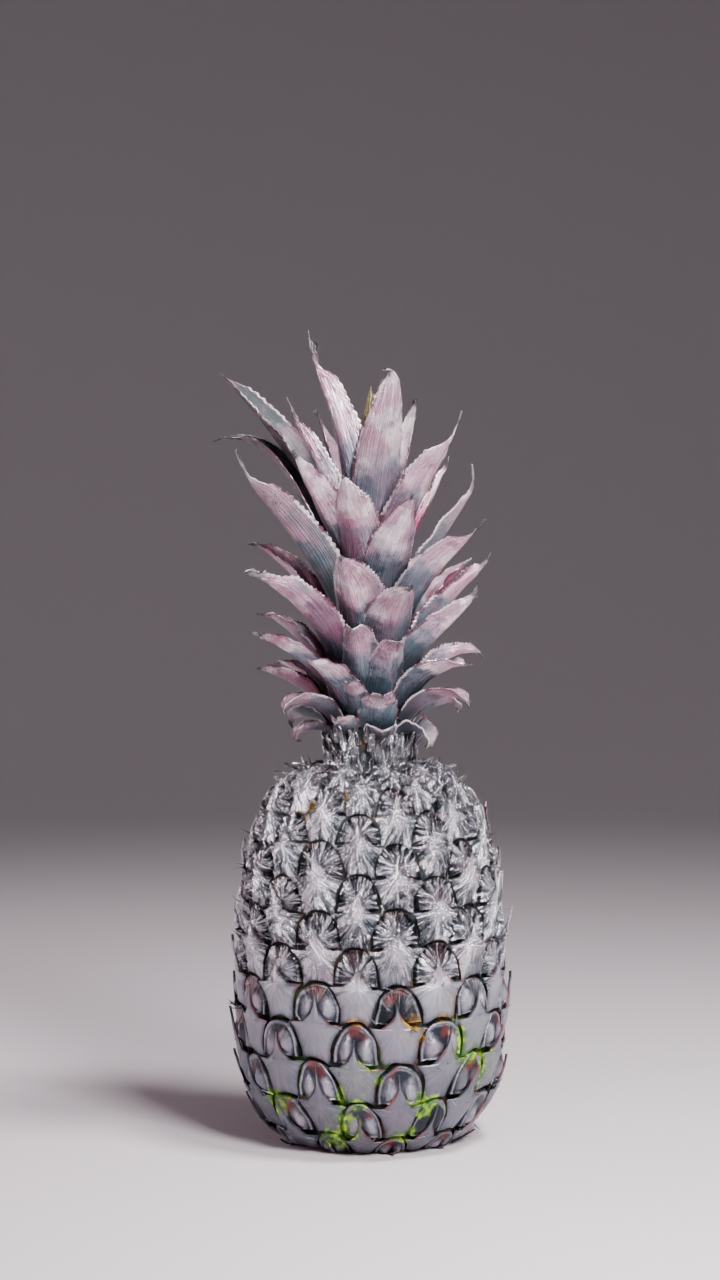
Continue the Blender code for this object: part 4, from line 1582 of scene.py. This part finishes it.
print("blades:", len(blades), "faces each:", len(blades[0].data.polygons))

# %% [markdown]
# ## The leaves' finish
# The same paint as on the fruit, drawn into streaks by the leaf's fibres. Towards the tips it carries
# painted light from above, pink with nearly white painted glints, and towards the clasping base painted
# shade, teal grey, where the paint is also thinner; it is worn to dark specks. Some leaves carry painted
# shade over the whole blade. Dry tips are dark with white shreds. One inner leaf was missed: it is
# olive with a yellow stripe.


# %% The recipe for both sides of a leaf
def leaf_finish(name, painted_base_shade, pale_from, pale_to):
    """The finish of one side of the leaves: its painted shade near the base, and where the painted light on
    the tips begins and is full.
    """
    finish, shader = new_material(name)
    place = add_node("TexCoord")["Object"]
    flat = add_node("UVMap", uv_map="place")["UV"]
    parts = add_node("SeparateXYZ", {0: flat})
    chance = attribute("chance")
    fine_fibres = {"Across": parts["X"], "Along": parts["Y"] * 2.2, "Density": 64.0, "Seed": chance}
    fibres = use_group(fibre_group, fine_fibres)
    drift = mottle(place, 75.0, 4.0, 0.6)
    along = (drift - 0.5) * 0.8 + parts["Y"]
    # Painted light from above on the outer part of each blade, towards the tip.
    pale = between(along, pale_from, pale_to)
    paint = tinted(place, 45.0, (0.33, 0.37, 0.44, 1), (0.50, 0.28, 0.40, 1), (0.10, 0.18, 0.22, 1))
    # Painted glints, nearly white, on the lit tips.
    painted_glint = between(mottle(place, 55.0, 4.0, 0.65), 0.47, 0.58)
    lit_tip_pink = (0.60, 0.33, 0.45, 1)
    painted_glint_white = (0.98, 0.86, 0.92, 1)
    soft_streaks = fibres["Streaks"] * 0.6
    tips = blend_colours(calc("MAXIMUM", painted_glint, soft_streaks), lit_tip_pink, painted_glint_white)
    colour = blend_colours(pale, paint, tips)
    # Painted shade towards the clasping base, where the paint is also thinner.
    colour = blend_colours(between(along, 0.62, 0.12) * 0.92, colour, painted_base_shade)
    rose = attribute("rose") * between(mottle(place, 60.0), 0.4, 0.6)
    colour = blend_colours(rose * 0.85, colour, (0.36, 0.05, 0.14, 1))
    streak_dark = between(mottle(fibres["Height"], 7.0, 2.0), 0.52, 0.66)
    colour = blend_colours(streak_dark * 0.22, colour, (0.07, 0.06, 0.09, 1))
    # Painted shade over the whole blade, as much as each leaf's dark habit says.
    dark = attribute("dark") * between(parts["Y"], 2.6, 0.8)
    dark = dark * (between(drift, 0.6, 0.4) * 0.25 + 0.82)
    colour = blend_colours(dark, colour, (0.045, 0.055, 0.06, 1))
    side = abs(parts["X"] - 0.5)
    margin = between(drift * 0.09 + side, 0.485, 0.53)
    margin_colour = blend_colours(between(drift, 0.44, 0.54), (0.92, 0.8, 0.86, 1), (0.1, 0.02, 0.04, 1))
    colour = blend_colours(margin * 0.85, colour, margin_colour)
    worn = between(mottle(place, 130.0, 5.0, 0.75), 0.56, 0.66)
    colour = blend_colours(worn * 0.55, colour, (0.13, 0.08, 0.12, 1))
    colour = speckled(colour, place, 1000.0, 1.0, 0.7, (0.05, 0.03, 0.05, 1))
    dried = between(drift * 0.7 + attribute("dried"), 0.62, 0.95)
    shreds = between(fibres["Streaks"], 0.6, 0.95)
    dry_colour = blend_colours(shreds, (0.02, 0.015, 0.018, 1), (0.80, 0.74, 0.77, 1))
    colour = blend_colours(dried, colour, dry_colour)
    stripe = between(abs(parts["X"] - 0.6), 0.07, 0.03)
    bare = blend_colours(stripe, (0.16, 0.12, 0.05, 1), (0.62, 0.46, 0.1, 1))
    bare = blend_colours(fibres["Streaks"] * 0.5, bare, (0.3, 0.3, 0.26, 1))
    missed = between(attribute("dry"), 0.9, 1.0)
    colour = blend_colours(missed, colour, bare)
    relief = drift * 0.6 + fibres["Height"]
    roughness = fibres["Streaks"] * 0.1 + 0.24
    roughness = dark * 0.4 + roughness
    metallic = (1.0 - dried) * 0.72
    metallic = metallic * (dark * -0.8 + 1.0)
    feed(shader, colour, roughness, metallic, relief, 0.0006)
    return finish


outer_finish = leaf_finish("silver_leaf_outside", (0.025, 0.07, 0.09, 1), 0.44, 0.66)
inner_finish = leaf_finish("silver_leaf_inside", (0.02, 0.035, 0.045, 1), 0.60, 0.95)
for number, blade in enumerate(blades, start=1):
    finish_piece(blade, [outer_finish, inner_finish], [f"crown_leaf_{number:02d}"], 50)
print("leaf triangles:", sum(2 * len(blade.data.polygons) for blade in blades))

# %% [markdown]
# ## The floor
# A plain pale floor carries the fruit: a round sheet whose rim is raised high and rounded into the
# flat, as a studio's paper sweep is, so no edge shows from any side.

# %% The floor
FLOOR_RADIUS = 4.0
bpy.ops.object.select_all(action="DESELECT")
bpy.ops.mesh.primitive_circle_add(vertices=96, radius=FLOOR_RADIUS, fill_type="NGON")
floor = started("floor")
edit_where(floor, lambda place: True)
bpy.ops.mesh.inset(thickness=0.01)
edit_where(floor, lambda place: place.length > FLOOR_RADIUS - 0.005)
bpy.ops.transform.translate(value=(0, 0, FLOOR_RADIUS))
edit_where(floor, lambda place: place.z < 0.01)
bpy.ops.mesh.bevel(offset=2.2, segments=20)
bpy.ops.object.mode_set(mode="OBJECT")
bpy.ops.object.shade_smooth()
floor_finish, shader = new_material("pale_floor")
shader.inputs["Base Color"].default_value = (0.60, 0.55, 0.58, 1.0)
shader.inputs["Roughness"].default_value = 0.8
floor.data.materials.append(floor_finish)
